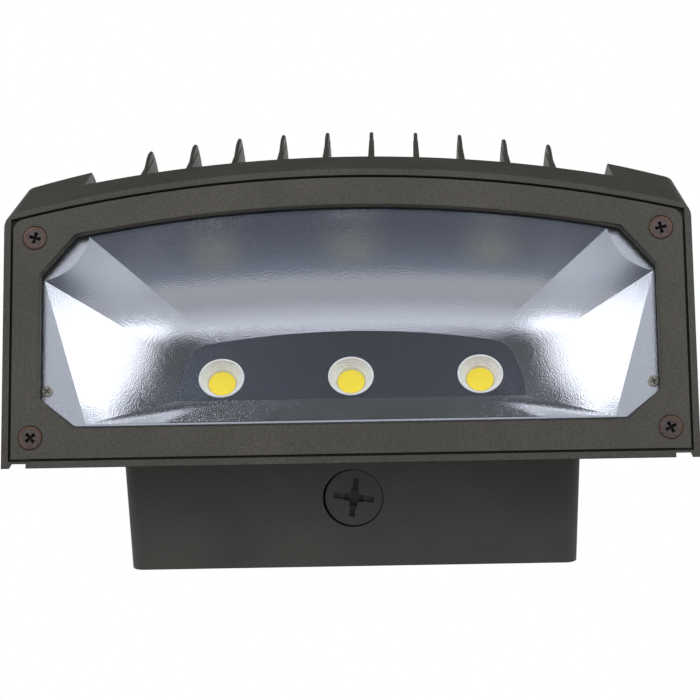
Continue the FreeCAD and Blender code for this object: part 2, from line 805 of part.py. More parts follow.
LEAD_HOLE, LEAD_X, LEAD_RUN = 12.0, 28.0, -2.0


def make_housing():
    knuckles = []
    bores = []
    recesses = []
    for number, sign in enumerate((-1, 1)):
        x = dim("hinge_spread") * sign
        solid, bore = make_knuckle(number, x)
        recesses.append(make_hinge_recess(number, x))
        knuckles.append(solid)
        bores.append(bore)
    hollows = make_fin_gaps() + make_light_chamber() + make_driver_bay() + recesses + make_lip_notches()
    hollows.append(lens_prism("frame_recess", dim("frame_thick"), frame_outline(dim("rim_gap"))))
    hollows.append(lens_prism("glass_pocket", ledge, opening_outline(dim("glass_lap") + 1.8)))
    hollows.append(lens_prism("flange_pocket", flange_bottom, opening_outline(2.0)))
    lead_hole = cylinder("lead_hole", LEAD_HOLE, 30.0)
    on_led_plane(lead_hole, web_rear + 6, LEAD_X, LEAD_RUN)
    hollows.append(lead_hole)
    hollows += make_screw_holes()
    space = combine("MultiFuse", "housing_space", hollows)
    shell = cut("housing_shell", make_envelope(), space)
    joined = combine("MultiFuse", "housing_joined", [shell] + knuckles)
    bored = cut("housing_bored", joined, combine("MultiFuse", "hinge_bores", bores))
    return keep(bored, "housing")


# ---------------------------------------------------------------- reflector and LEDs
def panel_outline(grow):
    """The flat panel with the LED holes, in the LED plane."""
    grow = size(grow)
    foot_half, foot_run = size(75.5) + grow, size(-11.5) - grow
    side_half, side_run = size(71.0) + grow, size(8.0) + grow * 0.3
    top_half, top_run = size(61.0) + grow * 0.5, size(18.6) + grow
    return ([(-foot_half, foot_run), (foot_half, foot_run), (side_half, side_run),
             (top_half, top_run), (-top_half, top_run), (-side_half, side_run)],
            {3: size(335.0)})


MIDDLE_AHEAD, MIDDLE_UP = 11.5, 21.5    # rear edge of the reflector's middle section, in the head


def middle_outline(grow):
    """Half way between mouth and panel, bowed outwards so that the long upper facet is concave."""
    grow = size(grow)
    return ([(-(94.3 + grow), 2.6 - grow), (94.3 + grow, 2.6 - grow), (102.0 + grow * 1.1, 47.5 + grow * 0.3),
             (87.0 + grow * 0.5, 64.8 + grow), (-(87.0 + grow * 0.5), 64.8 + grow),
             (-(102.0 + grow * 1.1), 47.5 + grow * 0.3)], {3: size(470.0)})


def reflector_form(name, grow):
    """The reflector's hollow, or its outside when grown by the wall."""
    mouth = free_sketch(name + "_mouth")
    add_outline(mouth, *reflector_outline(grow))
    in_lens(mouth, flange_top)
    middle = free_sketch(name + "_middle")
    add_outline(middle, *middle_outline(grow))
    half_turn = (slope + tilt) / 2
    in_head(middle, Rotation(Vector(1, 0, 0), 180 - half_turn.value), MIDDLE_AHEAD, MIDDLE_UP + size(grow))
    panel = free_sketch(name + "_panel")
    add_outline(panel, *panel_outline(grow))
    on_led_plane(panel, grow)
    loft = doc.addObject("Part::Loft", name)
    loft.Sections = [mouth, middle, panel]
    loft.Solid = True
    loft.Ruled = True
    return loft


def make_reflector():
    wall = dim("reflector_sheet")
    outside = reflector_form("reflector_outside", wall)
    hollow = reflector_form("reflector_hollow", 0.0)
    flange = lens_plate("reflector_flange", flange_bottom, flange_bottom - flange_top,
                        opening_outline(1.6))
    mouth = lens_prism("reflector_mouth", flange_bottom + 0.3, reflector_outline(0.0))
    holes = [mouth, hollow]
    for name, x in led_places():
        hole = cylinder(f"reflector_led_{name}", dim("led_hole"), 12.0)
        on_led_plane(hole, 6.0, x)
        holes.append(hole)
    for number, (x, y) in enumerate(reflector_screw_places):
        hole = cylinder(f"reflector_screw_hole{number}", dim("small_screw") + dim("play"), 8.0)
        in_lens(hole, flange_bottom + 3, x, y)
        holes.append(hole)
    shell = combine("MultiFuse", "reflector_shell", [outside, flange])
    return keep(cut("reflector_open", shell, combine("MultiFuse", "reflector_holes", holes)), "reflector")


def make_led(name, x):
    """One LED: a board on a thermal pad, its yellow disc, and the cup that clamps it."""
    side, disc = dim("board_side"), dim("led_disc")
    board = block(f"board_{name}", side, side, dim("board_thick"))
    on_led_plane(board, board_back, x - side / 2, -side / 2)
    keep(board, f"led_board_{name}")
    emitter = cylinder(f"disc_{name}", disc, 0.6)
    on_led_plane(emitter, board_back - dim("board_thick"), x)
    keep(emitter, f"led_disc_{name}")
    pad_side = side - 1
    thermal = block(f"pad_{name}", pad_side, pad_side, dim("pad_thick"))
    on_led_plane(thermal, web_front, x - pad_side / 2, -pad_side / 2)
    keep(thermal, f"thermal_pad_{name}")
    # the cup: a ring on the board that flares up into the reflector's hole
    body = new_body(f"cup_{name}")
    sketch = body_sketch(body, "XY_Plane")
    add_outline(sketch, box_corners(-side / 2 - 2, -side / 2 + 2, side / 2 + 2, side / 2 - 2))
    pad(body, sketch, CUP_FOOT)
    sketch = body_sketch(body, "XY_Plane", CUP_FOOT)
    add_circle(sketch, 0.0, 0.0, dim("led_hole") - dim("play") * 2)
    rise = board_back - dim("board_thick") - dim("play") - CUP_FOOT
    pad(body, sketch, rise)
    sketch = body_sketch(body, "XY_Plane", rise + CUP_FOOT)
    add_circle(sketch, 0.0, 0.0, dim("led_hole") - 2.4)
    pocket(body, sketch, rise + CUP_FOOT, size(CUP_FLARE))
    on_led_plane(body, board_back - dim("board_thick"), x)
    keep(body, f"led_cup_{name}")


def screw(name, thread, head, length, head_height, crossed=False):
    """A pan-head screw along its own Z, with the underside of the head at its origin."""
    shank = cylinder(f"{name}_shank", thread, length)
    place(shank, 0, 0, -size(length))
    top = cylinder(f"{name}_head", head, head_height)
    solid = combine("MultiFuse", f"{name}_solid", [shank, top])
    if not crossed:
        return solid
    slots = cross_slot(name, size(head) * 0.62, size(head) * 0.16, size(head_height) * 0.6, head_height)
    return cut(f"{name}_slotted", solid, slots)


def cross_slot(name, span, width, depth, top):
    """The cross in a screw head: two crossed bars sunk from the top."""
    bars = []
    for number, (along, across) in enumerate(((span, width), (width, span))):
        bar = block(f"{name}_slot{number}", along, across, depth + 1)
        place(bar, -size(along) / 2, -size(across) / 2, size(top) - depth)
        bars.append(bar)
    return combine("MultiFuse", f"{name}_slots", bars)


def copies(name, source, placements, label):
    """Several separate solids of one fastener, in one node."""
    shapes = []
    for spot in placements:
        shape = source.Shape.copy()
        shape.Placement = spot.multiply(shape.Placement)
        shapes.append(shape)
    group = doc.addObject("Part::Feature", name)
    group.Shape = Part.Compound(shapes)
    return keep(group, label)


def head_spot(turn, ahead, up, x, spin=0.0):
    spot = Vector(size(x).value, -(rear + ahead).value, (size(up) - floor_z).value)
    return Placement(spot, turn.multiply(Rotation(Vector(0, 0, 1), spin)))


def lens_spot(depth, x, run, spin=0.0):
    depth, run = size(depth), size(run)
    ahead = run * cosine(slope) - depth * sine(slope)
    return head_spot(LENS, ahead, run * sine(slope) + depth * cosine(slope), x, spin)


def make_lens_screws():
    """Countersunk frame screws and the two small reflector screws."""
    thread, head = dim("frame_screw"), dim("frame_screw_head")
    sink = (head - thread) / 2
    shank = cylinder("frame_screw_shank", thread, 14.0)
    place(shank, 0, 0, -14.5)
    taper = cone("frame_screw_taper", thread, head, sink)
    place(taper, 0, 0, -sink)
    solid = combine("MultiFuse", "frame_screw_solid", [shank, taper])
    slots = cross_slot("frame_screw", head * 0.56, head * 0.13, 1.6, 0.0)
    source = cut("frame_screw_slotted", solid, slots)
    small = screw("reflector_screw", dim("small_screw"), dim("small_head"), 6.0, 1.0)
    doc.recompute()
    spins = (12.0, 28.0, -14.0, 40.0)
    spots = [lens_spot(0.0, x, y, spin) for (x, y), spin in zip(frame_screw_places, spins)]
    copies("frame_screws", source, spots, "lens_frame_screws")
    spots = [lens_spot(flange_top, x, y, spin) for (x, y), spin in zip(reflector_screw_places, (20, 50))]
    copies("reflector_screws_set", small, spots, "reflector_screws")


# ---------------------------------------------------------------- driver bay contents
def bay_block(name, x0, x1, ahead0, ahead1, up0, up1, rounding=0.0):
    """A block in the driver bay, given by its ends across, ahead and up."""
    body = new_body(name)
    sketch = body_sketch(body, "XY_Plane")
    add_outline(sketch, box_corners(0.0, 0.0, size(x1) - x0, size(up1) - up0))
    pad(body, sketch, size(ahead1) - ahead0)
    if rounding:
        round_edges(body, rounding, is_length_edge)
    in_head(body, FRONT, ahead0, up0, x0)
    return body


def is_length_edge(edge):
    """True for the four edges along the pad's depth."""
    box = edge.BoundBox
    return box.XLength < 0.01 and box.YLength < 0.01 and box.ZLength > 1


def make_driver():
    """Driver in its own case, with an ear at each end screwed to the front wall of the bay."""
    wall = dim("bay_depth")
    case = bay_block("driver_case", DRIVER["left"], DRIVER["right"], wall - DRIVER["thick"], wall,
                     driver_foot, driver_foot + DRIVER["height"], 2.0)
    doc.recompute()
    sketch = body_sketch(case, "XY_Plane", DRIVER["thick"] - DRIVER["ear_thick"])
    width = DRIVER["right"] - DRIVER["left"]
    add_outline(sketch, box_corners(-DRIVER["ear"], 8.0, width + DRIVER["ear"], DRIVER["height"] - 8))
    pad(case, sketch, DRIVER["ear_thick"])
    for x in (-DRIVER["ear"] / 2, width + DRIVER["ear"] / 2):
        sketch = body_sketch(case, "XY_Plane", DRIVER["thick"])
        add_circle(sketch, x, DRIVER["height"] / 2, dim("small_screw"))
        pocket(case, sketch, DRIVER["ear_thick"])
    return keep(case, "driver")


def make_bay_fittings():
    """Surge unit and supply terminals beside the driver, and the screws of the driver."""
    wall = dim("bay_depth")
    top = driver_foot + DRIVER["height"]
    surge = bay_block("surge_case", 52.0, 80.0, wall - 20, wall, top - 24, top, 3.0)
    keep(surge, "surge_protector")
    terminals = bay_block("terminal_case", 52.0, 76.0, wall - 16, wall, driver_foot, driver_foot + 17)
    for step in range(3):
        sketch = body_sketch(terminals, "XY_Plane", 5.0)
        left = 1.5 + 8 * step
        add_outline(sketch, box_corners(left, 5.0, left + 5, 12.0))
        pocket(terminals, sketch, 5.0)
    keep(terminals, "terminal_block")
    source = screw("driver_screw", dim("small_screw"), dim("small_head"), 4.6, 1.6)
    doc.recompute()
    turned = FRONT.multiply(Rotation(Vector(1, 0, 0), 180))
    spots = [head_spot(turned, wall - DRIVER["ear_thick"], driver_middle, x) for x in driver_screw_places()]
    copies("driver_screw_set", source, spots, "driver_screws")


def make_lead_grommet():
    """Rubber seal where the LED leads pass through the web."""
    barrel = cylinder("grommet_barrel", LEAD_HOLE, dim("web_thick") + 1)
    on_led_plane(barrel, web_rear + 1, LEAD_X, LEAD_RUN)
    rim = cylinder("grommet_rim", LEAD_HOLE + 3.4, 1.6)
    on_led_plane(rim, web_rear + 1.6, LEAD_X, LEAD_RUN)
    return keep(combine("MultiFuse", "grommet_solid", [barrel, rim]), "lead_grommet")


# ---------------------------------------------------------------- junction box
GROUND_X, GROUND_Z = -82.0, -32.0
PLUG_TWIST = {"bottom": 8.0, "left": 62.0, "right": 17.0}    # how far each was screwed in, degrees
box_half = dim("box_width") / 2
box_rise = dim("box_height") / 2
draft = dim("box_draft")


def wall_half(front_half, out):
    """Half a size of the box at a distance out from the wall."""
    return front_half - (dim("box_depth") - out) * tangent(draft)


def plug_places():
    """Conduit entries: name, direction out of the box, and its outer face from the origin."""
    side = wall_half(box_half, dim("plug_set"))
    level = wall_half(box_rise, dim("plug_set"))
    return [
        ("bottom", Rotation(Vector(1, 0, 0), 180), 0.0, -level),
        ("left", Rotation(Vector(0, 1, 0), -90), -side, 0.0),
        ("right", Rotation(Vector(0, 1, 0), 90), side, 0.0),
    ]


def entry_cylinder(name, place_of, diameter, start, length):
    """A cylinder on a conduit entry's axis; start is its inner end, outwards from the outer face."""
    label, turn, x, z = place_of
    out = turn.multVec(Vector(0, 0, 1))
    solid = cylinder(f"{name}_{label}", diameter, length)
    place(solid, size(x) + size(start) * round(out.x), -dim("plug_set"), size(z) + size(start) * round(out.z),
          turn)
    return solid


def hinge_ears(number, x):
    """Two ears under the front edge of the box, with the eyes that hold a hinge pin."""
    rise, inset = dim("hinge_rise"), dim("hinge_inset")
    drop = dim("head_drop")
    seal = dim("box_seal")
    pieces = []
    for side_number, sign in enumerate((-1, 1)):
        middle = x + (dim("knuckle_width") / 2 + dim("ear_gap") + dim("ear_width") / 2) * sign
        name = f"hinge_ear{number}{side_number}"
        eye = dim("hinge_eye") / 2
        arm = side_prism(name, [(-5.6, drop + 1.5), (-5.6, drop - 0.8), (inset - eye * 0.95, rise - 1.2),
                                (inset, rise), (inset + 0.8, rise + eye * 0.97), (-seal, drop + 0.4),
                                (-seal, drop + 1.5)], dim("ear_width"), x=middle)
        ring = cylinder(name + "_eye", dim("hinge_eye"), dim("ear_width"))
        in_head(ring, Rotation(Vector(0, 1, 0), 90), inset, rise, middle - dim("ear_width") / 2)
        pieces += [arm, ring]
    return pieces


def closing_ear(number, x):
    """An ear above the box that a closing screw goes into."""
    drop, seal = dim("head_drop"), dim("box_seal")
    top = drop + dim("box_height")
    gap = dim("play")
    return side_prism(f"closing_ear{number}", [
        (-6.0, top - 3), (-seal, top - 3), (-seal, top + gap), (-gap, top + gap),
        (-gap, dim("closing_height") + 6), (-6.0, dim("closing_height") + 6)], 13.0, x=x)


def make_back_box():
    shell = new_body("box_shell")
    sketch = body_sketch(shell, "XY_Plane")
    depth = dim("box_depth")
    half, rise = wall_half(box_half, 0.0), wall_half(box_rise, 0.0)
    add_outline(sketch, box_corners(-half, -rise, half, rise))
    pad(shell, sketch, depth, draft)
    round_edges(shell, dim("box_round"), is_upright)
    sketch = body_sketch(shell, "XY_Plane", depth)
    wall = dim("box_wall")
    add_outline(sketch, box_corners(wall - box_half, wall - box_rise, box_half - wall, box_rise - wall))
    pocket(shell, sketch, depth - wall, -draft)
    place(shell, 0, 0, 0, FRONT)
    pieces = [shell]
    bores = []
    for entry in plug_places():
        collar = dim("plug_length") + 1
        pieces.append(entry_cylinder("entry_collar", entry, dim("plug_bore") + dim("boss_wall") * 2, -collar,
                                     collar - 2))
        bores.append(entry_cylinder("entry_bore", entry, dim("plug_bore"), -collar - 1, collar + 5))
    for number, sign in enumerate((-1, 1)):
        pieces += hinge_ears(number, dim("hinge_spread") * sign)
        pieces.append(closing_ear(number, dim("closing_spread") * sign))
        bore = cylinder(f"ear_bore{number}", dim("hinge_pin"), 60.0)
        in_head(bore, Rotation(Vector(0, 1, 0), 90), dim("hinge_inset"), dim("hinge_rise"),
                dim("hinge_spread") * sign - 30)
        bores.append(bore)
        hole = cylinder(f"ear_thread{number}", dim("closing_thread") + dim("play") * 2, 12.0)
        in_head(hole, FRONT, -9.0, dim("closing_height"), dim("closing_spread") * sign)
        bores.append(hole)
        for other, up in enumerate((-1, 1)):
            lag = cylinder(f"lag_hole{number}{other}", dim("lag_hole"), dim("box_wall") + 4)
            place(lag, dim("lag_spacing_x") / 2 * sign, 2.0, dim("lag_spacing_z") / 2 * up, FRONT)
            bores.append(lag)
    feed = cylinder("feed_hole", dim("feed_hole"), dim("box_wall") + 4)
    place(feed, 0, 2.0, 0, FRONT)
    bores.append(feed)
    tapped = cylinder("ground_hole", dim("small_screw") + 1, 8.0)
    place(tapped, GROUND_X, -1, GROUND_Z, FRONT)
    bores.append(tapped)
    solid = combine("MultiFuse", "box_solid", pieces)
    return keep(cut("box_bored", solid, combine("MultiFuse", "box_bores", bores)), "back_box")


def make_box_gasket():
    body = new_body("gasket_sheet")
    sketch = body_sketch(body, "XY_Plane")
    edge = size(0.6)
    inner = edge + dim("seal_width")
    add_outline(sketch, box_corners(edge - box_half, edge - box_rise, box_half - edge, box_rise - edge))
    add_outline(sketch, box_corners(inner - box_half, inner - box_rise, box_half - inner, box_rise - inner))
    pad(body, sketch, dim("box_seal"))
    corner = dim("box_round").value
    outer_x, outer_y = box_half.value - edge.value, box_rise.value - edge.value
    round_edges(body, dim("box_round") - edge, at_corner(
        [(sx * outer_x, sy * outer_y) for sx in (-1, 1) for sy in (-1, 1)], corner * 0.2))
    place(body, 0, -dim("box_depth"), 0, FRONT)
    return keep(body, "box_gasket")


def make_plugs():
    """Threaded conduit plugs, flush with the box, with a two-step cross for the driver."""
    for entry in plug_places():
        label = entry[0]
        face = size(-0.4)
        solid = entry_cylinder("plug", entry, dim("plug_bore") - 0.2, face - dim("plug_length"), dim("plug_length"))
        tools = []
        for number, (span, wide, deep) in enumerate(((18.4, 2.5, 2.2), (8.4, 3.4, 4.0))):
            for turned, (along, across) in enumerate(((span, wide), (wide, span))):
                bar = block(f"plug_slot_{label}{number}{turned}", along, across, deep + 2)
                spot = entry_spot(entry, face - deep)
                shift = Placement(Vector(-along / 2, -across / 2, 0), Rotation())
                twist = Placement(Vector(), Rotation(Vector(0, 0, 1), PLUG_TWIST[label]))
                bar.Placement = spot.multiply(twist).multiply(shift)
                tools.append(bar)
        keep(cut(f"plug_crossed_{label}", solid, combine("MultiFuse", f"plug_cross_{label}", tools)),
             f"conduit_plug_{label}")


def entry_spot(entry, start):
    label, turn, x, z = entry
    out = turn.multVec(Vector(0, 0, 1))
    spot = Vector(size(x).value, -dim("plug_set").value, size(z).value) + out * size(start).value
    return Placement(spot, turn)


def make_box_hardware():
    """Hinge pins, ground screw and closing screws."""
    span = dim("knuckle_width") + (dim("ear_width") + dim("ear_gap")) * 2
    pins = []
    for number, sign in enumerate((-1, 1)):
        pin = cylinder(f"pin{number}", dim("hinge_pin"), span)
        in_head(pin, Rotation(Vector(0, 1, 0), 90), dim("hinge_inset"), dim("hinge_rise"),
                dim("hinge_spread") * sign - span / 2)
        pins.append(pin)
    keep(pair("pin_pair", pins), "hinge_pins")
    ground = screw("ground", dim("small_screw") + 1, size(7.0), 2.6, 2.0)
    closing = screw("closing", dim("closing_thread"), dim("closing_head"), 13.0, 3.4, crossed=True)
    doc.recompute()
    spot = Placement(Vector(GROUND_X, -dim("box_wall").value, GROUND_Z), FRONT)
    copies("ground_set", ground, [spot], "ground_screw")
    places = [dim("closing_spread") * sign for sign in (-1, 1)]
    copies("closing_set", closing, [head_spot(FRONT, dim("closing_seat"), dim("closing_height"), x)
                                    for x in places], "captive_screws")


def pair(name, pieces):
    group = doc.addObject("Part::Compound", name)
    group.Links = pieces
    return group


# ---------------------------------------------------------------- build, check and write
def build():
    make_back_box()
    make_box_gasket()
    make_plugs()
    make_box_hardware()
    make_housing()
    make_lens_frame()
    make_glass()
    make_lens_gasket()
    make_reflector()
    for name, x in led_places():
        make_led(name, x)
    make_lens_screws()
    make_driver()
    make_bay_fittings()
    make_lead_grommet()


def check():
    doc.recompute()
    failed = [o.Name for o in doc.Objects if {"Invalid", "Error"} & set(o.State)]
    if failed:
        raise RuntimeError(f"failed features: {failed}")
    for node in nodes:
        if node.Shape.isNull() or not node.Shape.isValid():
            raise RuntimeError(f"{node.Label} has no valid shape")


build()
check()
for node in nodes:
    node.Shape.exportStep(f"parts/{node.Label}.step")
    print(f"{node.Label}: {len(node.Shape.Solids)} solids, {node.Shape.Volume / 1000:.2f} cm3")
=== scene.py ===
import bmesh
import bpy
import math
from mathutils import Matrix, Vector
from mathutils.bvhtree import BVHTree


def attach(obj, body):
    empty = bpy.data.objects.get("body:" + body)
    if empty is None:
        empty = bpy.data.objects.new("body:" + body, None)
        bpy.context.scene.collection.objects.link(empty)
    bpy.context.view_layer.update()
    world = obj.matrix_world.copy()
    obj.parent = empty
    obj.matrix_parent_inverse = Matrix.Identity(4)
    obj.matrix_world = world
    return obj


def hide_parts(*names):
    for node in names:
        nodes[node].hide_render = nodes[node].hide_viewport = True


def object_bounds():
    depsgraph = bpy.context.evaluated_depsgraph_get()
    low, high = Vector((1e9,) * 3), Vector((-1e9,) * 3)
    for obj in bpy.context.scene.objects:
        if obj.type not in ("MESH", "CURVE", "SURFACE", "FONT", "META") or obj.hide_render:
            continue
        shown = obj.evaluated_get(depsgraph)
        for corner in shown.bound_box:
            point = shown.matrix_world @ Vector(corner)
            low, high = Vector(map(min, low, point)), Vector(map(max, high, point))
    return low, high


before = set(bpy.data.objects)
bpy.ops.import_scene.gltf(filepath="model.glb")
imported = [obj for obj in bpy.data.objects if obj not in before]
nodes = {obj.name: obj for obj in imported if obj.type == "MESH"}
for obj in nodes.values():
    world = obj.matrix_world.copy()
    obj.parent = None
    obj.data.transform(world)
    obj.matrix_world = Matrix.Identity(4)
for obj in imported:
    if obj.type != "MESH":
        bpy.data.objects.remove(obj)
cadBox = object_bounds()
mm = 0.001
print("frame loaded,", len(nodes), "CAD pieces")


# small helpers for colours, shader nodes and meshes

def hexColour(code):
    # an sRGB colour as seen on screen, turned to the linear values that shaders use
    channels = [int(code[i:i + 2], 16) / 255 for i in (1, 3, 5)]
    linear = [c / 12.92 if c <= 0.04045 else ((c + 0.055) / 1.055) ** 2.4 for c in channels]
    return (*linear, 1.0)


def addNode(tree, kind, settings=None, inputs=None):
    # one node, its settings, and its inputs given as values or as other nodes' outputs
    node = tree.nodes.new("ShaderNode" + kind)
    for name, value in (settings or {}).items():
        setattr(node, name, value)
    for name, value in (inputs or {}).items():
        if isinstance(value, bpy.types.NodeSocket):
            tree.links.new(value, node.inputs[name])
        else:
            node.inputs[name].default_value = value
    return node


def newMaterial(name):
    # an empty material with its output, and the object's own coordinates in metres
    material = bpy.data.materials.new(name)
    material.use_nodes = True
    tree = material.node_tree
    tree.nodes.clear()
    output = addNode(tree, "OutputMaterial")
    place = addNode(tree, "TexCoord").outputs["Object"]
    return material, tree, output, place


def perMetre(sizeMm):
    # the texture scale that gives a grain of this size
    return 1000.0 / sizeMm


def finishMaterial(tree, output, shader):
    tree.links.new(shader.outputs[0], output.inputs["Surface"])


def roughen(tree, place, sizeMm, detail, strength, reliefMm, normal=None):
    # a fine noise as relief, this deep and with marks of this size
    noise = addNode(tree, "TexNoise", None, {"Vector": place, "Scale": perMetre(sizeMm), "Detail": detail})
    relief = addNode(tree, "Bump", None, {"Strength": strength, "Distance": reliefMm * mm,
                                          "Height": noise.outputs["Fac"]})
    if normal:
        tree.links.new(normal, relief.inputs["Normal"])
    return relief.outputs[0]


def speckle(tree, place, sizeMm, dark, light, low=0.35, high=0.65):
    # two colours mixed by a fine noise, for grain in a coat
    noise = addNode(tree, "TexNoise", None, {"Vector": place, "Scale": perMetre(sizeMm), "Detail": 2.0})
    ramp = addNode(tree, "ValToRGB", None, {"Fac": noise.outputs["Fac"]})
    ramp.color_ramp.elements[0].position = low
    ramp.color_ramp.elements[0].color = hexColour(dark)
    ramp.color_ramp.elements[1].position = high
    ramp.color_ramp.elements[1].color = hexColour(light)
    return ramp.outputs["Color"]


# finishes

powderCoat = {
    "grainMm": 0.55,        # orange peel and pigment grain of a textured powder coat
    "cloudMm": 45.0,        # slow change in the film's thickness
    "cloudColours": ("#e2e2e2", "#ffffff"),
    "edgeMm": 0.45,         # cast edges are never sharp once coated
    "reliefMm": 0.06,
    "bump": 0.55,
    "roughness": 0.52,
    "ior": 1.5,
}


def texturedPowderCoat(name, dark, light, roughness=powderCoat["roughness"], bump=powderCoat["bump"]):
    # textured polyester powder coat on die-cast aluminium: dull, slightly grainy, soft at its edges
    material, tree, output, place = newMaterial(name)
    grain = speckle(tree, place, powderCoat["grainMm"], dark, light)
    cloud = speckle(tree, place, powderCoat["cloudMm"], *powderCoat["cloudColours"], 0.3, 0.7)
    colour = addNode(tree, "Mix", {"data_type": "RGBA", "blend_type": "MULTIPLY"},
                     {0: 1.0, 6: grain, 7: cloud})
    edge = addNode(tree, "Bevel", {"samples": 4}, {"Radius": powderCoat["edgeMm"] * mm})
    peel = roughen(tree, place, powderCoat["grainMm"], 3.0, bump, powderCoat["reliefMm"], edge.outputs[0])
    shader = addNode(tree, "BsdfPrincipled", None, {
        "Base Color": colour.outputs[2], "Roughness": roughness, "IOR": powderCoat["ior"], "Normal": peel})
    finishMaterial(tree, output, shader)
    return material


peening = {
    "markMm": 0.6,          # hammered marks, drawn as fine as the picture can show
    "reliefMm": 0.12,
    "roughness": 0.11,
}


def peenedAluminium(name, colour, strength):
    # aluminium with a fine hammered skin, which breaks every reflection into grain
    material, tree, output, place = newMaterial(name)
    marks = roughen(tree, place, peening["markMm"], 1.0, strength, peening["reliefMm"])
    shader = addNode(tree, "BsdfPrincipled", None, {
        "Base Color": hexColour(colour), "Metallic": 1.0, "Roughness": peening["roughness"],
        "Normal": marks})
    finishMaterial(tree, output, shader)
    return material


glassPlate = {
    "colour": "#f9fafb",
    "shadeColour": "#f3f5f6",   # what the plate lets through of the lamps
    "ior": 1.5,
    "waveMm": 60.0,             # rolled glass is never quite flat
    "waveBump": 0.02,
    "reliefMm": 0.1,
}


def clearTemperedGlass(name):
    # tempered soda-lime plate: clear and smooth; lamps shine through it to the reflector
    material, tree, output, place = newMaterial(name)
    wave = roughen(tree, place, glassPlate["waveMm"], 2.0, glassPlate["waveBump"], glassPlate["reliefMm"])
    glass = addNode(tree, "BsdfPrincipled", None, {
        "Base Color": hexColour(glassPlate["colour"]), "Roughness": 0.0, "IOR": glassPlate["ior"],
        "Transmission Weight": 1.0, "Normal": wave})
    clear = addNode(tree, "BsdfTransparent", None, {"Color": hexColour(glassPlate["shadeColour"])})
    shadow = addNode(tree, "LightPath").outputs["Is Shadow Ray"]
    mixed = addNode(tree, "MixShader", None, {0: shadow, 1: glass.outputs[0], 2: clear.outputs[0]})
    finishMaterial(tree, output, mixed)
    return material


mouldSkin = {
    "sparkShare": 0.6,      # size of the mould's texture, as a share of the grain in the colour
    "reliefMm": 0.05,
    "ior": 1.5,
    "glowDepthMm": 1.0,
}


def mouldedPlastic(name, dark, light, roughness, grainMm=1.2, strength=0.15, glow=0.0, paintedGlowStrength=0.0):
    # injection-moulded plastic, with the fine spark texture of its mould
    material, tree, output, place = newMaterial(name)
    colour = speckle(tree, place, grainMm, dark, light)
    skin = roughen(tree, place, grainMm * mouldSkin["sparkShare"], 2.0, strength, mouldSkin["reliefMm"])
    shader = addNode(tree, "BsdfPrincipled", None, {
        "Base Color": colour, "Roughness": roughness, "IOR": mouldSkin["ior"], "Normal": skin,
        "Subsurface Weight": glow, "Subsurface Scale": mouldSkin["glowDepthMm"] * mm,
        # the emission makes a part glow though it is no lamp: a painted glow, used only on the phosphor
        "Emission Color": colour, "Emission Strength": paintedGlowStrength})
    finishMaterial(tree, output, shader)
    return material


steelSkin = {
    "tintMm": 1.5,
    "markMm": 0.5,          # marks of the other screws in the tumbler
    "bump": 0.2,
    "reliefMm": 0.03,
}


def turnedSteel(name, dark, light, roughness, metallic=1.0):
    # cold-headed and plated steel, with the faint marks of tumbling
    material, tree, output, place = newMaterial(name)
    colour = speckle(tree, place, steelSkin["tintMm"], dark, light)
    marks = roughen(tree, place, steelSkin["markMm"], 3.0, steelSkin["bump"], steelSkin["reliefMm"])
    shader = addNode(tree, "BsdfPrincipled", None, {
        "Base Color": colour, "Metallic": metallic, "Roughness": roughness, "Normal": marks})
    finishMaterial(tree, output, shader)
    return material


castHousingCoat = texturedPowderCoat("bronzePowderCoatOnHousing", "#393630", "#59554d")
castFrameCoat = texturedPowderCoat("bronzePowderCoatOnFrame", "#423e38", "#5b574e", bump=0.5)
castBoxCoat = texturedPowderCoat("bronzePowderCoatOnBox", "#524f4a", "#5b5852", roughness=0.6, bump=0.35)
plugCoat = texturedPowderCoat("bronzePowderCoatOnPlug", "#4e4c47", "#585550", roughness=0.6, bump=0.3)
reflectorSheet = peenedAluminium("peenedBrightAluminium", "#e1e3ed", 0.65)
# the panel and the strip under it are the same bright sheet as the reflector, given a darker colour as
# painted shade
panelSheetPaintedShade = peenedAluminium("paintedShadeAluminiumRoundTheLeds", "#7c86a0", 0.9)
lensGlass = clearTemperedGlass("temperedClearGlass")
siliconeRubber = mouldedPlastic("blackSiliconeRubber", "#141414", "#1d1d1d", 0.6)
foamRubber = mouldedPlastic("closedCellFoamRubber", "#1a1a1a", "#262626", 0.85, 0.8, 0.6)
bronzedSteel = turnedSteel("bronzedScrewSteel", "#5c5150", "#6b605e", 0.5)
copperEdge = turnedSteel("wornCopperEdge", "#5f483d", "#73594b", 0.45)
# painted shade: the cross in each lens frame screw is coloured near black where its shade falls
recessPaintedShade = mouldedPlastic("paintedShadeInScrewCross", "#100e0d", "#1a1716", 0.8, 0.4, 0.3)
# painted shade: the cross in each reflector screw is coloured darker than the zinc where its shade falls
zincRecessPaintedShade = mouldedPlastic("paintedShadeInZincScrewCross", "#2e2d2a", "#3d3b37", 0.7, 0.4, 0.3)
zincPlatedSteel = turnedSteel("zincPlatedSteel", "#989488", "#b9b4a6", 0.38)
stainlessSteel = turnedSteel("stainlessSteel", "#b4b4b6", "#c8c8ca", 0.28)
greenPlatedSteel = turnedSteel("greenGroundScrewSteel", "#1c6a35", "#27824a", 0.4, 0.6)
whiteCeramic = mouldedPlastic("whiteCeramicBoard", "#dcdcd8", "#ecece8", 0.4, 0.6, 0.1)
paleOpticPlastic = mouldedPlastic("paleOpticPlastic", "#eae8e8", "#f4f2f2", 0.16, 2.0, 0.05, glow=0.3)
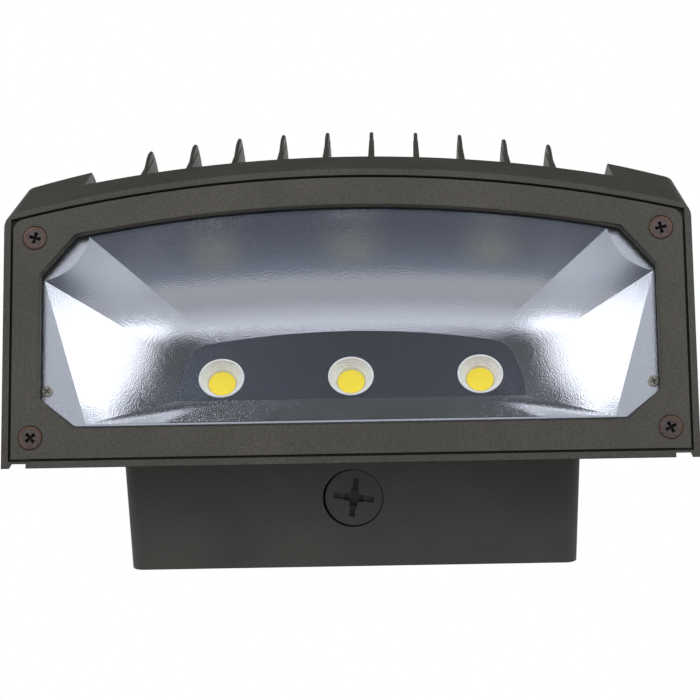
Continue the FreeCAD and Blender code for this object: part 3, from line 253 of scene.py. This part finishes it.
# painted glow: the unlit phosphor is given a faint emission of its own yellow
phosphorWithPaintedGlow = mouldedPlastic("yellowPhosphorSiliconeWithPaintedGlow", "#fbdb02", "#ffe70c", 0.5, 0.4, 0.3, paintedGlowStrength=0.12)
greyThermalPad = mouldedPlastic("greyThermalPad", "#7d8086", "#8b8e94", 0.8)
whiteDriverCase = mouldedPlastic("paleDriverCase", "#c9cacb", "#d6d7d8", 0.5, 0.9, 0.4)
blackPotting = mouldedPlastic("blackSurgeCase", "#17171a", "#222226", 0.45)
paleNylon = mouldedPlastic("paleTerminalNylon", "#d3d2c8", "#dedcd2", 0.4)
print("materials made:", len(bpy.data.materials))


# CAD pieces that keep their own shape get their real finish

finishOfNode = {
    "housing": castHousingCoat,
    "back_box": castBoxCoat,
    "conduit_plug_left": plugCoat,
    "conduit_plug_right": plugCoat,
    "box_gasket": foamRubber,
    "hinge_pins": stainlessSteel,
    "ground_screw": greenPlatedSteel,
    "captive_screws": bronzedSteel,
    "lens_glass": lensGlass,
    "lens_gasket": siliconeRubber,
    "driver": whiteDriverCase,
    "surge_protector": blackPotting,
    "terminal_block": paleNylon,
    "driver_screws": zincPlatedSteel,
    "lead_grommet": siliconeRubber,
}
ledSides = ("left", "centre", "right")
for side in ledSides:
    finishOfNode["led_board_" + side] = whiteCeramic
    finishOfNode["led_disc_" + side] = phosphorWithPaintedGlow
    finishOfNode["thermal_pad_" + side] = greyThermalPad

for name, material in finishOfNode.items():
    for materialSlot in nodes[name].material_slots:
        materialSlot.link = "OBJECT"
        materialSlot.material = material
print("CAD pieces finished:", len(finishOfNode))


# places in the head, from the same few sizes as the CAD

head = {
    "rear": 55.0,           # rear face of the head from the wall
    "foot": -89.0,          # its lower rear corner
    "slope": math.radians(23.0),
    "ledTilt": math.radians(46.0),
    "ledRun": 41.0,         # LED row along the lens plane
    "ledDepth": 22.5,       # and behind it
}


def headPoint(x, ahead, up):
    # in the frame of the whole light, from mm ahead of and above the head's lower rear corner
    return Vector((x, -(head["rear"] + ahead), head["foot"] + up)) * mm


def onSlope(run, depth, angle):
    # how far ahead and up a point lies, from its place along and behind a plane at this angle
    return run * math.cos(angle) - depth * math.sin(angle), run * math.sin(angle) + depth * math.cos(angle)


def lensPoint(x, run, depth):
    return headPoint(x, *onSlope(run, depth, head["slope"]))


def ledPoint(x, run, depth=0.0):
    ahead, up = onSlope(head["ledRun"], head["ledDepth"], head["slope"])
    step, rise = onSlope(run, depth, head["ledTilt"])
    return headPoint(x, ahead + step, up + rise)


def facing(origin, angle):
    # a frame whose Z looks out of a plane that is turned down from level by the angle
    return Matrix.Translation(origin) @ Matrix.Rotation(math.pi - angle, 4, "X")


def makeObject(name, mesh, materials, body, smoothAngle=30):
    # a visible piece that rides on a body; without an angle it keeps the sharp edges it has
    for material in materials:
        mesh.materials.append(material)
    thing = bpy.data.objects.new(name, mesh)
    bpy.context.scene.collection.objects.link(thing)
    if smoothAngle:
        mesh.shade_smooth()
        mesh.set_sharp_from_angle(angle=math.radians(smoothAngle))
    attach(thing, body)
    return thing


def meshFrom(bm, name):
    bmesh.ops.recalc_face_normals(bm, faces=bm.faces)
    mesh = bpy.data.meshes.new(name)
    bm.to_mesh(mesh)
    bm.free()
    return mesh


# reflector: folded bright sheet with a flat flange, six facets and a tilted panel for the LEDs

reflector = {
    "mouthDepth": 9.0,              # flange behind the lens plane
    "mouth": [(114.0, 19.6), (132.5, 83.0), (113.0, 102.2)],
    "mouthRadius": 620.0,
    "mouthCornerBow": -4.1,         # the flange bulges into the upper side facet
    "panel": [(76.0, -11.5), (72.5, 7.0), (60.5, 18.2)],
    "panelRadius": 335.0,
    "panelSideBow": 0.9,
    "panelCornerBow": 3.0,
    # how far each facet is bowed out half way up, at its start and end: rear, side, upper side, front
    "bows": [(0.0, 0.0), (0.0, 7.0), (7.0, 8.6), (8.6, 8.6), (8.6, 7.0), (7.0, 0.0)],
    "bowWay": (0.0, 0.25, 1.0),     # up and a little back
    "stripLift": (1.0, 5.5),        # the strip under the panel ends this far behind and above the mouth
    "stripHalf": 84.0,              # and comes down to the mouth's corners from here
    "holeRadius": 9.7,
    "holeSides": 40,
    "ledPitch": 56.7,
    "sheet": 0.9,
    "steps": 16,
    "foldAngle": 5.0,               # degrees; a gentler bend is shown smooth
    "stripNumber": 10,              # marks of the strip's and the panel's faces while the folds are found
    "panelNumber": 11,
}

# the flange ends under the lens frame, but stops short of it at the rear, where a dark gap stays open
flange = {
    "rear": [(-118.8, 19.0), (118.8, 19.0)],
    "half": 133.0,
    "sideStart": 31.6,
    "sideCut": 17.1,                # from the end of the side to the corner of the arch
    "frontHalf": 117.8,
    "front": 113.2,
    "frontRadius": 609.0,
    "lap": 1.6,
    "archSteps": 24,
}


def bowedEdge(start, end, bow, steps):
    # points along a shallow arc that stands off its chord, outwards where the bow is positive
    (x0, y0), (x1, y1) = start, end
    length = math.hypot(x1 - x0, y1 - y0)
    acrossX, acrossY = (y1 - y0) / length, -(x1 - x0) / length
    points = []
    for i in range(steps + 1):
        t = i / steps
        off = bow * 4 * t * (1 - t)
        points.append((x0 + (x1 - x0) * t + acrossX * off, y0 + (y1 - y0) * t + acrossY * off))
    return points


def ring(corners, radius, sideBow, cornerBow, steps):
    # one section of the reflector: rear edge, side, upper side, arched front edge, and back again
    (rearX, rearY), (sideX, sideY), (frontX, frontY) = corners
    sagitta = radius - math.sqrt(radius ** 2 - frontX ** 2)
    rearEdge = bowedEdge((-rearX, rearY), (rearX, rearY), 0.0, steps * 2)
    side = bowedEdge((rearX, rearY), (sideX, sideY), sideBow, steps)
    corner = bowedEdge((sideX, sideY), (frontX, frontY), cornerBow, steps)
    front = bowedEdge((frontX, frontY), (-frontX, frontY), sagitta, steps * 2)
    mirrored = [[(-x, y) for x, y in reversed(edge)] for edge in (corner, side)]
    return [rearEdge, side, corner, front] + mirrored


def sectionPoints():
    # the mouth, the panel, and the folds half way between them
    steps = reflector["steps"]
    mouth = ring(reflector["mouth"], reflector["mouthRadius"], 0.0, reflector["mouthCornerBow"], steps)
    panel = ring(reflector["panel"], reflector["panelRadius"], reflector["panelSideBow"],
                 reflector["panelCornerBow"], steps)
    outer = [[lensPoint(x, y, reflector["mouthDepth"]) for x, y in edge] for edge in mouth]
    inner = [[ledPoint(x, y) for x, y in edge] for edge in panel]
    bowWay = Vector(reflector["bowWay"]) * mm
    middle = []
    for outerEdge, innerEdge, (first, last) in zip(outer, inner, reflector["bows"]):
        count = len(outerEdge) - 1
        middle.append([(a + b) / 2 + bowWay * (first + (last - first) * i / count)
                       for i, (a, b) in enumerate(zip(outerEdge, innerEdge))])
    return [outer, middle, inner]


def through(a, b, c, t):
    # a smooth curve through three points, at 0, one half and 1
    return a * (2 * (t - 0.5) * (t - 1)) + b * (4 * t * (1 - t)) + c * (2 * t * (t - 0.5))


def addFacet(bm, outer, middle, inner, steps, number):
    # one smooth facet between mouth and panel
    rows = []
    for j in range(steps + 1):
        rows.append([bm.verts.new(through(a, b, c, j / steps)) for a, b, c in zip(outer, middle, inner)])
    for low, high in zip(rows, rows[1:]):
        for i in range(len(low) - 1):
            face = bm.faces.new((low[i], low[i + 1], high[i + 1], high[i]))
            face.material_index = number


def stripFold(mouthEdge):
    # the strip runs on from the panel almost in its plane, and turns down just above the mouth's rear edge
    behind, above = reflector["stripLift"]
    half = reflector["mouth"][0][0] * mm
    start = reflector["stripHalf"] * mm
    fold = []
    for p in mouthEdge:
        share = min(1.0, (half - abs(p.x)) / (half - start))
        fold.append(p + Vector((0.0, behind, above)) * mm * share)
    return fold


def creaseFolds(bm):
    # folds between facets stay crisp, but fade where the sheet hardly bends
    strip = reflector["stripNumber"]
    for edge in bm.edges:
        faces = edge.link_faces
        edge.smooth = len(faces) == 2 and (faces[0].material_index == faces[1].material_index
                                           or edge.calc_face_angle() < math.radians(reflector["foldAngle"]))
    for face in bm.faces:
        face.smooth = 0 < face.material_index <= strip      # panel and flange are flat
        # the strip and the panel take the second material, a darker copy of the sheet that paints shade on
        # them
        face.material_index = 1 if face.material_index >= strip else 0


def fillBetween(bm, loops):
    # a flat face with holes, from closed loops of points
    edges = []
    for loop in loops:
        verts = [bm.verts.new(p) for p in loop]
        edges += [bm.edges.new((verts[i - 1], verts[i])) for i in range(len(verts))]
    bmesh.ops.triangle_fill(bm, use_beauty=True, use_dissolve=False, edges=edges)


def circlePoints(radius, count, toWorld):
    return [toWorld(radius * math.cos(2 * math.pi * i / count), radius * math.sin(2 * math.pi * i / count))
            for i in range(count)]


def flangeOutline():
    half, front = flange["half"] + flange["lap"], flange["front"] + flange["lap"]
    frontX = flange["frontHalf"] + flange["lap"] * 0.5
    radius = flange["frontRadius"]
    cornerY = front - (radius - math.sqrt(radius ** 2 - frontX ** 2))
    sideEnd = cornerY - flange["sideCut"]
    arch = bowedEdge((frontX, cornerY), (-frontX, cornerY), front - cornerY, flange["archSteps"])
    right = [(half, flange["sideStart"]), (half, sideEnd)]
    left = [(-half, sideEnd), (-half, flange["sideStart"])]
    return flange["rear"] + right + arch + left


def halfWay(edge, other):
    return [(a + b) / 2 for a, b in zip(edge, other)]


def addFacets(bm, sections):
    for number, (outer, middle, inner) in enumerate(zip(*sections), start=1):
        if number == 1:
            # the rear facet is folded along the strip under the panel
            fold = stripFold(outer)
            addFacet(bm, outer, halfWay(outer, fold), fold, 2, reflector["stripNumber"])
            outer, middle = fold, halfWay(fold, inner)
        addFacet(bm, outer, middle, inner, reflector["steps"], number)


def addPanel(bm, innerEdges):
    # the flat panel, with a round hole for each LED cup
    outline = [p for edge in innerEdges for p in edge[:-1]]
    holes = []
    for step in (-1, 0, 1):
        x0 = reflector["ledPitch"] * step
        holes.append(circlePoints(reflector["holeRadius"], reflector["holeSides"],
                                  lambda u, v: ledPoint(x0 + u, v)))
    facets = len(bm.faces)
    fillBetween(bm, [outline] + holes)
    bm.faces.ensure_lookup_table()
    for face in bm.faces[facets:]:
        face.material_index = reflector["panelNumber"]


def addFlange(bm, outerEdges):
    mouth = [p for edge in outerEdges for p in edge[:-1]]
    outline = [lensPoint(x, y, reflector["mouthDepth"]) for x, y in flangeOutline()]
    fillBetween(bm, [outline, mouth])


def makeReflector():
    bm = bmesh.new()
    sections = sectionPoints()
    addFacets(bm, sections)
    addPanel(bm, sections[2])
    addFlange(bm, sections[0])
    bmesh.ops.remove_doubles(bm, verts=bm.verts, dist=0.02 * mm)
    creaseFolds(bm)
    mesh = meshFrom(bm, "reflectorMesh")
    # the lit side must look out of the lens, so that the sheet grows away from it
    if sum(p.normal.z * p.area for p in mesh.polygons) > 0:
        mesh.flip_normals()
    thing = makeObject("reflectorShell", mesh, [reflectorSheet, panelSheetPaintedShade], "head",
                       None)
    sheet = thing.modifiers.new("sheet", "SOLIDIFY")
    sheet.thickness = reflector["sheet"] * mm
    sheet.offset = -1.0
    sheet.use_even_offset = True
    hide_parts("reflector")


makeReflector()
print("reflector made")


# CAD pieces that are shown with small changes of form

lensFrame = {
    "bevel": 1.8,           # of the CAD's opening
    "shownBevel": 0.7,
    "tolerance": 0.02,      # for finding the bevel's points by their depth
    "reach": 1.9,           # bevel widths from a shallow point to its deep one, at most
}


def lensPlace(p):
    # how far a point is along the lens plane and behind it, in mm
    ahead, up = -p.y / mm - head["rear"], p.z / mm - head["foot"]
    return onSlope(ahead, up, -head["slope"])


def copyOf(node):
    mesh = node.data.copy()
    mesh.transform(node.matrix_world)
    mesh.materials.clear()
    bm = bmesh.new()
    bm.from_mesh(mesh)
    bpy.data.meshes.remove(mesh)
    for face in bm.faces:
        face.material_index = 0
    return bm


def bevelPoints(bm):
    # the points of the front face, and those at the foot of the bevel
    shallow, deep = [], []
    for vert in bm.verts:
        run, depth = lensPlace(vert.co)
        if abs(depth) < lensFrame["tolerance"]:
            shallow.append(vert)
        elif abs(depth - lensFrame["bevel"]) < lensFrame["tolerance"]:
            deep.append(vert)
    return shallow, deep


def makeLensFrame():
    # the bevel round the opening is only a broken edge on the real frame
    bm = copyOf(nodes["lens_frame"])
    bevel, kept = lensFrame["bevel"], lensFrame["shownBevel"]
    shallow, deep = bevelPoints(bm)
    inwards = lensPoint(0.0, 0.0, 0.0) - lensPoint(0.0, 0.0, 1.0)
    moves = []
    for vert in shallow:
        near = min(deep, key=lambda other: (other.co - vert.co).length_squared, default=None)
        if near and (near.co - vert.co).length < bevel * lensFrame["reach"] * mm:
            flat = near.co + inwards * bevel - vert.co
            moves.append((vert, flat * (1 - kept / bevel)))
    for vert in deep:
        moves.append((vert, inwards * (bevel - kept)))
    for vert, move in moves:
        vert.co += move
    print("lens frame bevel points moved:", len(moves))
    thing = makeObject("lensFrameCast", meshFrom(bm, "lensFrameMesh"), [castFrameCoat], "head")
    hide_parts("lens_frame")


conduitPlug = {
    "shrink": 0.955,        # the plug is slack in its thread
    "offset": (0.4, -0.15), # mm that it sits to one side
}


def makeConduitPlug():
    bm = copyOf(nodes["conduit_plug_bottom"])
    centre = [(min(v.co[i] for v in bm.verts) + max(v.co[i] for v in bm.verts)) / 2 for i in range(2)]
    shrink, offset = conduitPlug["shrink"], conduitPlug["offset"]
    for vert in bm.verts:
        # mirrored, so that its cross leans to the other side
        vert.co.x = centre[0] - (vert.co.x - centre[0]) * shrink + offset[0] * mm
        vert.co.y = centre[1] + (vert.co.y - centre[1]) * shrink + offset[1] * mm
    thing = makeObject("conduitPlugTurned", meshFrom(bm, "conduitPlugMesh"), [plugCoat], "box")
    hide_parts("conduit_plug_bottom")


makeLensFrame()
makeConduitPlug()
print("frame and plug made")


# the crown of each cooling fin, which bulges a little past the plain arc of the CAD

finCrown = {
    "count": 10,
    "pitch": 20.4,
    "thickness": 1.7,
    "centre": (44.65, 89.5),    # middle of the crown's arc, ahead and up
    "angles": (-7.0, 72.0),     # from the front of the arc to where the bulge has died out
    "fullAngle": 14.0,
    "bulge": 4.2,
    "root": 3.0,                # how far the crown is let into its fin
    "tipRound": 0.5,
    "standOut": 4.0,            # most that a crown may stand ahead of the CAD's front
    "steps": 36,
    "castFrom": 0.15,           # metres from the arc's middle, well outside the housing
}


def surfaceOf(node):
    place = node.matrix_world
    mesh = node.data
    return BVHTree.FromPolygons([place @ v.co for v in mesh.vertices],
                                [p.vertices[:] for p in mesh.polygons])


def bulgeAt(angle):
    # rises fast from the front end, then dies out slowly towards the rear
    low, high = finCrown["angles"]
    full = finCrown["fullAngle"]
    share = (angle - low) / (full - low) if angle < full else (high - angle) / (high - full)
    return finCrown["bulge"] * share * share * (3 - 2 * share)


def crownSection(surface, x, angle):
    # six points round the crown, from its left root over the tip to its right root, where a ray to the
    # middle of the arc meets the fin's edge
    way = Vector((0.0, -math.cos(math.radians(angle)), math.sin(math.radians(angle))))
    start = headPoint(x, *finCrown["centre"]) + way * finCrown["castFrom"]
    hit = surface.ray_cast(start, -way)[0]
    edge = hit + way * bulgeAt(angle) * mm
    frontLimit = cadBox[0][1] - finCrown["standOut"] * mm
    if edge.y < frontLimit:
        edge = hit + way * max(0.0, (frontLimit - hit.y) / way.y)
    half, soft = finCrown["thickness"] / 2 * mm, finCrown["tipRound"] * mm
    side = Vector((half, 0.0, 0.0))
    tip = side * (1 - soft / half)
    root = hit - way * finCrown["root"] * mm
    shoulder = edge - way * soft
    return [root - side, shoulder - side, edge - tip, edge + tip, shoulder + side, root + side]


def makeFinCrowns():
    surface = surfaceOf(nodes["housing"])
    bm = bmesh.new()
    low, high = finCrown["angles"]
    for number in range(finCrown["count"]):
        x = (number - (finCrown["count"] - 1) / 2) * finCrown["pitch"]
        rows = []
        for i in range(finCrown["steps"] + 1):
            angle = low + (high - low) * i / finCrown["steps"]
            rows.append([bm.verts.new(p) for p in crownSection(surface, x, angle)])
        for near, far in zip(rows, rows[1:]):
            for j in range(len(near)):
                bm.faces.new((near[j - 1], near[j], far[j], far[j - 1]))
        bm.faces.new(rows[0])
        bm.faces.new(list(reversed(rows[-1])))
    makeObject("finCrowns", meshFrom(bm, "finCrownMesh"), [castHousingCoat], "head")


makeFinCrowns()
print("fin crowns made")


# screws and LED cups

screwForm = {
    # the broken edge of a head, as shares of its size: how far in and down its middle lies
    "edgeIn": 0.4,
    "edgeDown": 0.25,
    # shares of the cross's slot and span: its width at the ends and at the waist, and its floor
    "flare": 1.2,
    "waist": 0.85,
    "floorSpan": 0.8,
    "floorSlot": 0.85,
}


def crossOutline(span, width, twist):
    # the twelve corners of a cross, anticlockwise, with arms a little wider at their ends
    s, w = span / 2, width / 2
    end, waist = w * screwForm["flare"], w * screwForm["waist"]
    arm = [(s, -end), (s, end), (waist, waist)]
    points = []
    for quarter in range(4):
        turn = twist + quarter * math.pi / 2
        for x, y in arm:
            points.append((x * math.cos(turn) - y * math.sin(turn), x * math.sin(turn) + y * math.cos(turn)))
    return points


def addCross(bm, at, screw, twist):
    # a cross that narrows as it goes down; its faces take the third material, a dark colour that paints the
    # shade in it
    span, slot = screw["span"], screw["slot"]
    top = [bm.verts.new(at(x, y, 0.0)) for x, y in crossOutline(span, slot, twist)]
    low = crossOutline(span * screwForm["floorSpan"], slot * screwForm["floorSlot"], twist)
    floor = [bm.verts.new(at(x, y, -screw["depth"])) for x, y in low]
    recess = [bm.faces.new((top[i - 1], top[i], floor[i], floor[i - 1])) for i in range(len(top))]
    recess.append(bm.faces.new(floor))
    for face in recess:
        face.material_index = 2
    return top


def crossedHead(place, screw, twist):
    # a round head seen from its top: side, broken edge and rim, and a flat top round its cross
    bm = bmesh.new()

    def at(x, y, z):
        return place @ Vector((x * mm, y * mm, z * mm))

    radius, edge, sides = screw["radius"], screw["edge"], screw["sides"]
    levels = [(radius, -screw["headHeight"]), (radius, -edge),
              (radius - edge * screwForm["edgeIn"], -edge * screwForm["edgeDown"]),
              (radius - edge, 0.0), (radius - edge - screw["rim"], 0.0)]
    rings = [[bm.verts.new(p) for p in circlePoints(r, sides, lambda u, v: at(u, v, z))] for r, z in levels]
    for number, (low, high) in enumerate(zip(rings, rings[1:])):
        for i in range(sides):
            face = bm.faces.new((low[i - 1], low[i], high[i], high[i - 1]))
            face.material_index = 1 if number else 0
    cross = addCross(bm, at, screw, twist)
    edges = []
    for loop in (rings[-1], cross):
        edges += [bm.edges.get((loop[i - 1], loop[i])) for i in range(len(loop))]
    bmesh.ops.triangle_fill(bm, use_beauty=True, use_dissolve=False, edges=edges)
    return bm


def joinParts(name, pieces):
    # several bmeshes in one mesh
    mesh = bpy.data.meshes.new(name)
    whole = bmesh.new()
    for bm in pieces:
        piece = bpy.data.meshes.new("piece")
        bm.to_mesh(piece)
        bm.free()
        whole.from_mesh(piece)
        bpy.data.meshes.remove(piece)
    bmesh.ops.recalc_face_normals(whole, faces=whole.faces)
    whole.to_mesh(mesh)
    whole.free()
    return mesh


def screwHeads(name, screw):
    # one mesh with a head at each place, given as x, run along the lens plane and turn in degrees
    pieces = []
    for x, run, spin in screw["places"]:
        place = facing(lensPoint(x, run, screw["top"]), head["slope"])
        pieces.append(crossedHead(place, screw, math.radians(spin)))
    return joinParts(name, pieces)


frameScrews = {
    "places": [(135.6, 100.5, 12.0), (136.7, 13.1, 28.0), (-135.6, 100.5, -14.0), (-136.7, 13.1, 40.0)],
    "top": 0.0,             # of the head, behind the lens plane
    "radius": 5.05,
    "headHeight": 2.4,
    "rim": 0.35,
    "edge": 0.3,
    "span": 5.0,
    "slot": 1.35,
    "depth": 1.9,
    "sides": 48,
}

reflectorScrews = {
    "places": [(130.8, 34.3, 20.0), (-130.8, 34.3, 50.0)],
    "top": 8.0,             # just proud of the flange
    "radius": 2.5,
    "headHeight": 1.0,
    "rim": 0.2,
    "edge": 0.35,
    "span": 2.9,
    "slot": 0.7,
    "depth": 0.9,
    "sides": 48,
}


def makeFrameScrews():
    # the dark finish is worn to copper round the rim
    # the cross in each head is coloured dark as painted shade
    thing = makeObject("lensFrameScrewHeads", screwHeads("frameScrewMesh", frameScrews),
                       [bronzedSteel, copperEdge, recessPaintedShade], "head")
    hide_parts("lens_frame_screws")


def makeReflectorScrews():
    # the cross in each head is coloured dark as painted shade
    thing = makeObject("reflectorScrewHeads", screwHeads("reflectorScrewMesh", reflectorScrews),
                       [zincPlatedSteel, zincPlatedSteel, zincRecessPaintedShade], "head")
    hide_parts("reflector_screws")


makeFrameScrews()
makeReflectorScrews()
print("screws made")


ledCup = {
    # radius and height below the panel in mm: up the outside, over the lip and down the steps of the bore
    "profile": [(9.4, -5.0), (9.4, -0.3), (9.9, -0.15), (10.0, 0.1), (9.8, 0.35), (9.45, 0.45),
                (9.1, 0.3), (8.9, -0.1), (8.75, -0.9), (8.35, -1.05), (8.1, -1.9), (7.7, -2.05),
                (7.3, -3.1), (6.9, -3.25), (6.35, -4.6), (6.2, -5.0)],
    "sides": 64,
}


def makeLedCup(name, x):
    # a pale cup with a round lip and fine steps, round the yellow disc
    bm = bmesh.new()
    place = facing(ledPoint(x, 0.0), head["ledTilt"])
    rings = []
    for radius, height in ledCup["profile"]:
        rings.append([bm.verts.new(p) for p in circlePoints(
            radius, ledCup["sides"], lambda u, v: place @ Vector((u * mm, v * mm, height * mm)))])
    rings.append(rings[0])
    for low, high in zip(rings, rings[1:]):
        for i in range(ledCup["sides"]):
            bm.faces.new((low[i - 1], low[i], high[i], high[i - 1]))
    thing = makeObject("ledCupTurned_" + name, meshFrom(bm, "ledCupMesh"), [paleOpticPlastic], "head",
                       40)
    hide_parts("led_cup_" + name)


for step, side in enumerate(ledSides, start=-1):
    makeLedCup(side, reflector["ledPitch"] * step)
print("LED cups made")


# stage, lamps, world and camera

studio = {
    "floorHeight": -2.4,
    "floorRear": 0.35,
    "floorFront": -1.15,
    "floorWidth": 2.6,
    "floorColours": ("#e6e6e4", "#e9e9e7"),
    "floorGrainMm": 40.0,
    "aim": (0.0, -0.10, -0.05),             # where both soft boxes point
    "boxDirection": (0.58, -0.75, -0.33),   # from there to the right-hand box
    "boxDistance": 1.35,
    "boxSize": 1.08,
    "boxWatts": 6.0,
    # grey of the room on the way round from overhead, behind, under the light, to the front and overhead
    "room": [(0.0, "#ffffff"), (0.05, "#ffffff"), (0.12, "#c9cbce"), (0.19, "#a9acb1"), (0.24, "#383d46"),
             (0.37, "#3a404b"), (0.45, "#737a85"), (0.53, "#a6aab0"), (0.58, "#bcbfc4"), (0.65, "#eaecee"),
             (0.668, "#5a5f68"), (0.684, "#060709"), (0.80, "#0c0e12"), (0.90, "#1c2025"),
             (0.975, "#2c3036"), (1.0, "#ffffff")],
    "sideGlow": "#d9dcdf",
    "sideRange": (0.3, 0.8),                # how far to the side a look goes as the glow sets in
    "sideShare": 0.75,
}


def makeStage():
    half, z = studio["floorWidth"] / 2, studio["floorHeight"]
    rear, front = studio["floorRear"], studio["floorFront"]
    corners = [(-half, front, z), (half, front, z), (half, rear, z), (-half, rear, z)]
    mesh = bpy.data.meshes.new("floorMesh")
    mesh.from_pydata(corners, [], [(0, 1, 2, 3)])
    floor = bpy.data.objects.new("studioFloor", mesh)
    bpy.context.scene.collection.objects.link(floor)
    material, tree, output, place = newMaterial("palePaintedFloor")
    colour = speckle(tree, place, studio["floorGrainMm"], *studio["floorColours"])
    shader = addNode(tree, "BsdfPrincipled", None, {"Base Color": colour, "Roughness": 0.8})
    finishMaterial(tree, output, shader)
    mesh.materials.append(material)


def makeLamps():
    # one square soft box at each side, low in front of the light
    x, y, z = Vector(studio["boxDirection"]).normalized() * studio["boxDistance"]
    aim = Vector(studio["aim"])
    for name, side in (("softBoxLeft", -1), ("softBoxRight", 1)):
        lamp = bpy.data.lights.new(name, "AREA")
        lamp.shape = "SQUARE"
        lamp.size = studio["boxSize"]
        lamp.energy = studio["boxWatts"]
        thing = bpy.data.objects.new(name, lamp)
        bpy.context.scene.collection.objects.link(thing)
        thing.location = aim + Vector((x * side, y, z))
        thing.rotation_euler = (aim - thing.location).to_track_quat("-Z", "Y").to_euler()


def roomTone(tree, parts):
    # the ramp of greys by the angle from straight up, going round by the rear, as a share of a full turn
    front = addNode(tree, "Math", {"operation": "MULTIPLY"}, {0: parts.outputs["Y"], 1: -1.0})
    down = addNode(tree, "Math", {"operation": "MULTIPLY"}, {0: parts.outputs["Z"], 1: -1.0})
    turn = addNode(tree, "Math", {"operation": "ARCTAN2"}, {0: front.outputs[0], 1: down.outputs[0]})
    share = addNode(tree, "MapRange", None, {"Value": turn.outputs[0],
                                             "From Min": -math.pi, "From Max": math.pi})
    ramp = addNode(tree, "ValToRGB", None, {"Fac": share.outputs[0]})
    stops = ramp.color_ramp.elements
    while len(stops) < len(studio["room"]):
        stops.new(0.5)
    for stop, (place, code) in zip(stops, studio["room"]):
        stop.position = place
        stop.color = hexColour(code)
    return ramp.outputs["Color"]


def makeWorld():
    # white behind the light for the camera; what the light itself sees is a soft room, pale below it and
    # overhead, dark at the level of the wall opposite, and glowing at both sides
    world = bpy.data.worlds.new("studioWorld")
    bpy.context.scene.world = world
    world.use_nodes = True
    tree = world.node_tree
    tree.nodes.clear()
    output = addNode(tree, "OutputWorld")
    direction = addNode(tree, "TexCoord").outputs["Generated"]
    parts = addNode(tree, "SeparateXYZ", None, {0: direction})
    start, end = studio["sideRange"]
    aside = addNode(tree, "Math", {"operation": "ABSOLUTE"}, {0: parts.outputs["X"]})
    sideways = addNode(tree, "MapRange", {"interpolation_type": "SMOOTHSTEP"}, {
        "Value": aside.outputs[0], "From Min": start, "From Max": end, "To Max": studio["sideShare"]})
    around = addNode(tree, "Mix", {"data_type": "RGBA"}, {
        0: sideways.outputs[0], 6: roomTone(tree, parts), 7: hexColour(studio["sideGlow"])})
    seen = addNode(tree, "Background", None, {"Color": around.outputs[2], "Strength": 1.0})
    white = addNode(tree, "Background", None, {"Color": (1.0, 1.0, 1.0, 1.0), "Strength": 1.0})
    camera = addNode(tree, "LightPath").outputs["Is Camera Ray"]
    mixed = addNode(tree, "MixShader", None, {0: camera, 1: seen.outputs[0], 2: white.outputs[0]})
    tree.links.new(mixed.outputs[0], output.inputs["Surface"])


view = {
    "lookAt": (0.0217, -0.0996, -0.0701),   # on the lens, where the picture's axis meets it
    "distance": 0.950,
    "lean": 13.0,           # degrees that the camera stands ahead of straight below
    "roll": 1.0,            # the light is photographed a degree off level
    "sensor": 36.0,
    "focal": 113.84,
    "shiftX": -50 / 700,    # the picture is cropped to one side
    "nearest": 0.05,
}


def makeCamera():
    lean, roll = math.radians(view["lean"]), math.radians(view["roll"])
    back = Vector((0.0, -math.sin(lean), -math.cos(lean)))
    top = Vector((0.0, -math.cos(lean), math.sin(lean)))
    right = Vector((1.0, 0.0, 0.0))
    turnedRight = right * math.cos(roll) - top * math.sin(roll)
    turnedTop = right * math.sin(roll) + top * math.cos(roll)
    lens = bpy.data.cameras.new("camera")
    lens.sensor_width = view["sensor"]
    lens.lens = view["focal"]
    lens.shift_x = view["shiftX"]
    lens.clip_start = view["nearest"]
    thing = bpy.data.objects.new("camera", lens)
    bpy.context.scene.collection.objects.link(thing)
    place = Vector(view["lookAt"]) + back * view["distance"]
    axes = Matrix((turnedRight, turnedTop, back)).transposed().to_4x4()
    thing.matrix_world = Matrix.Translation(place) @ axes
    bpy.context.scene.camera = thing


makeStage()
makeLamps()
makeWorld()
makeCamera()
bpy.context.scene.view_settings.view_transform = "Standard"
print("studio made")
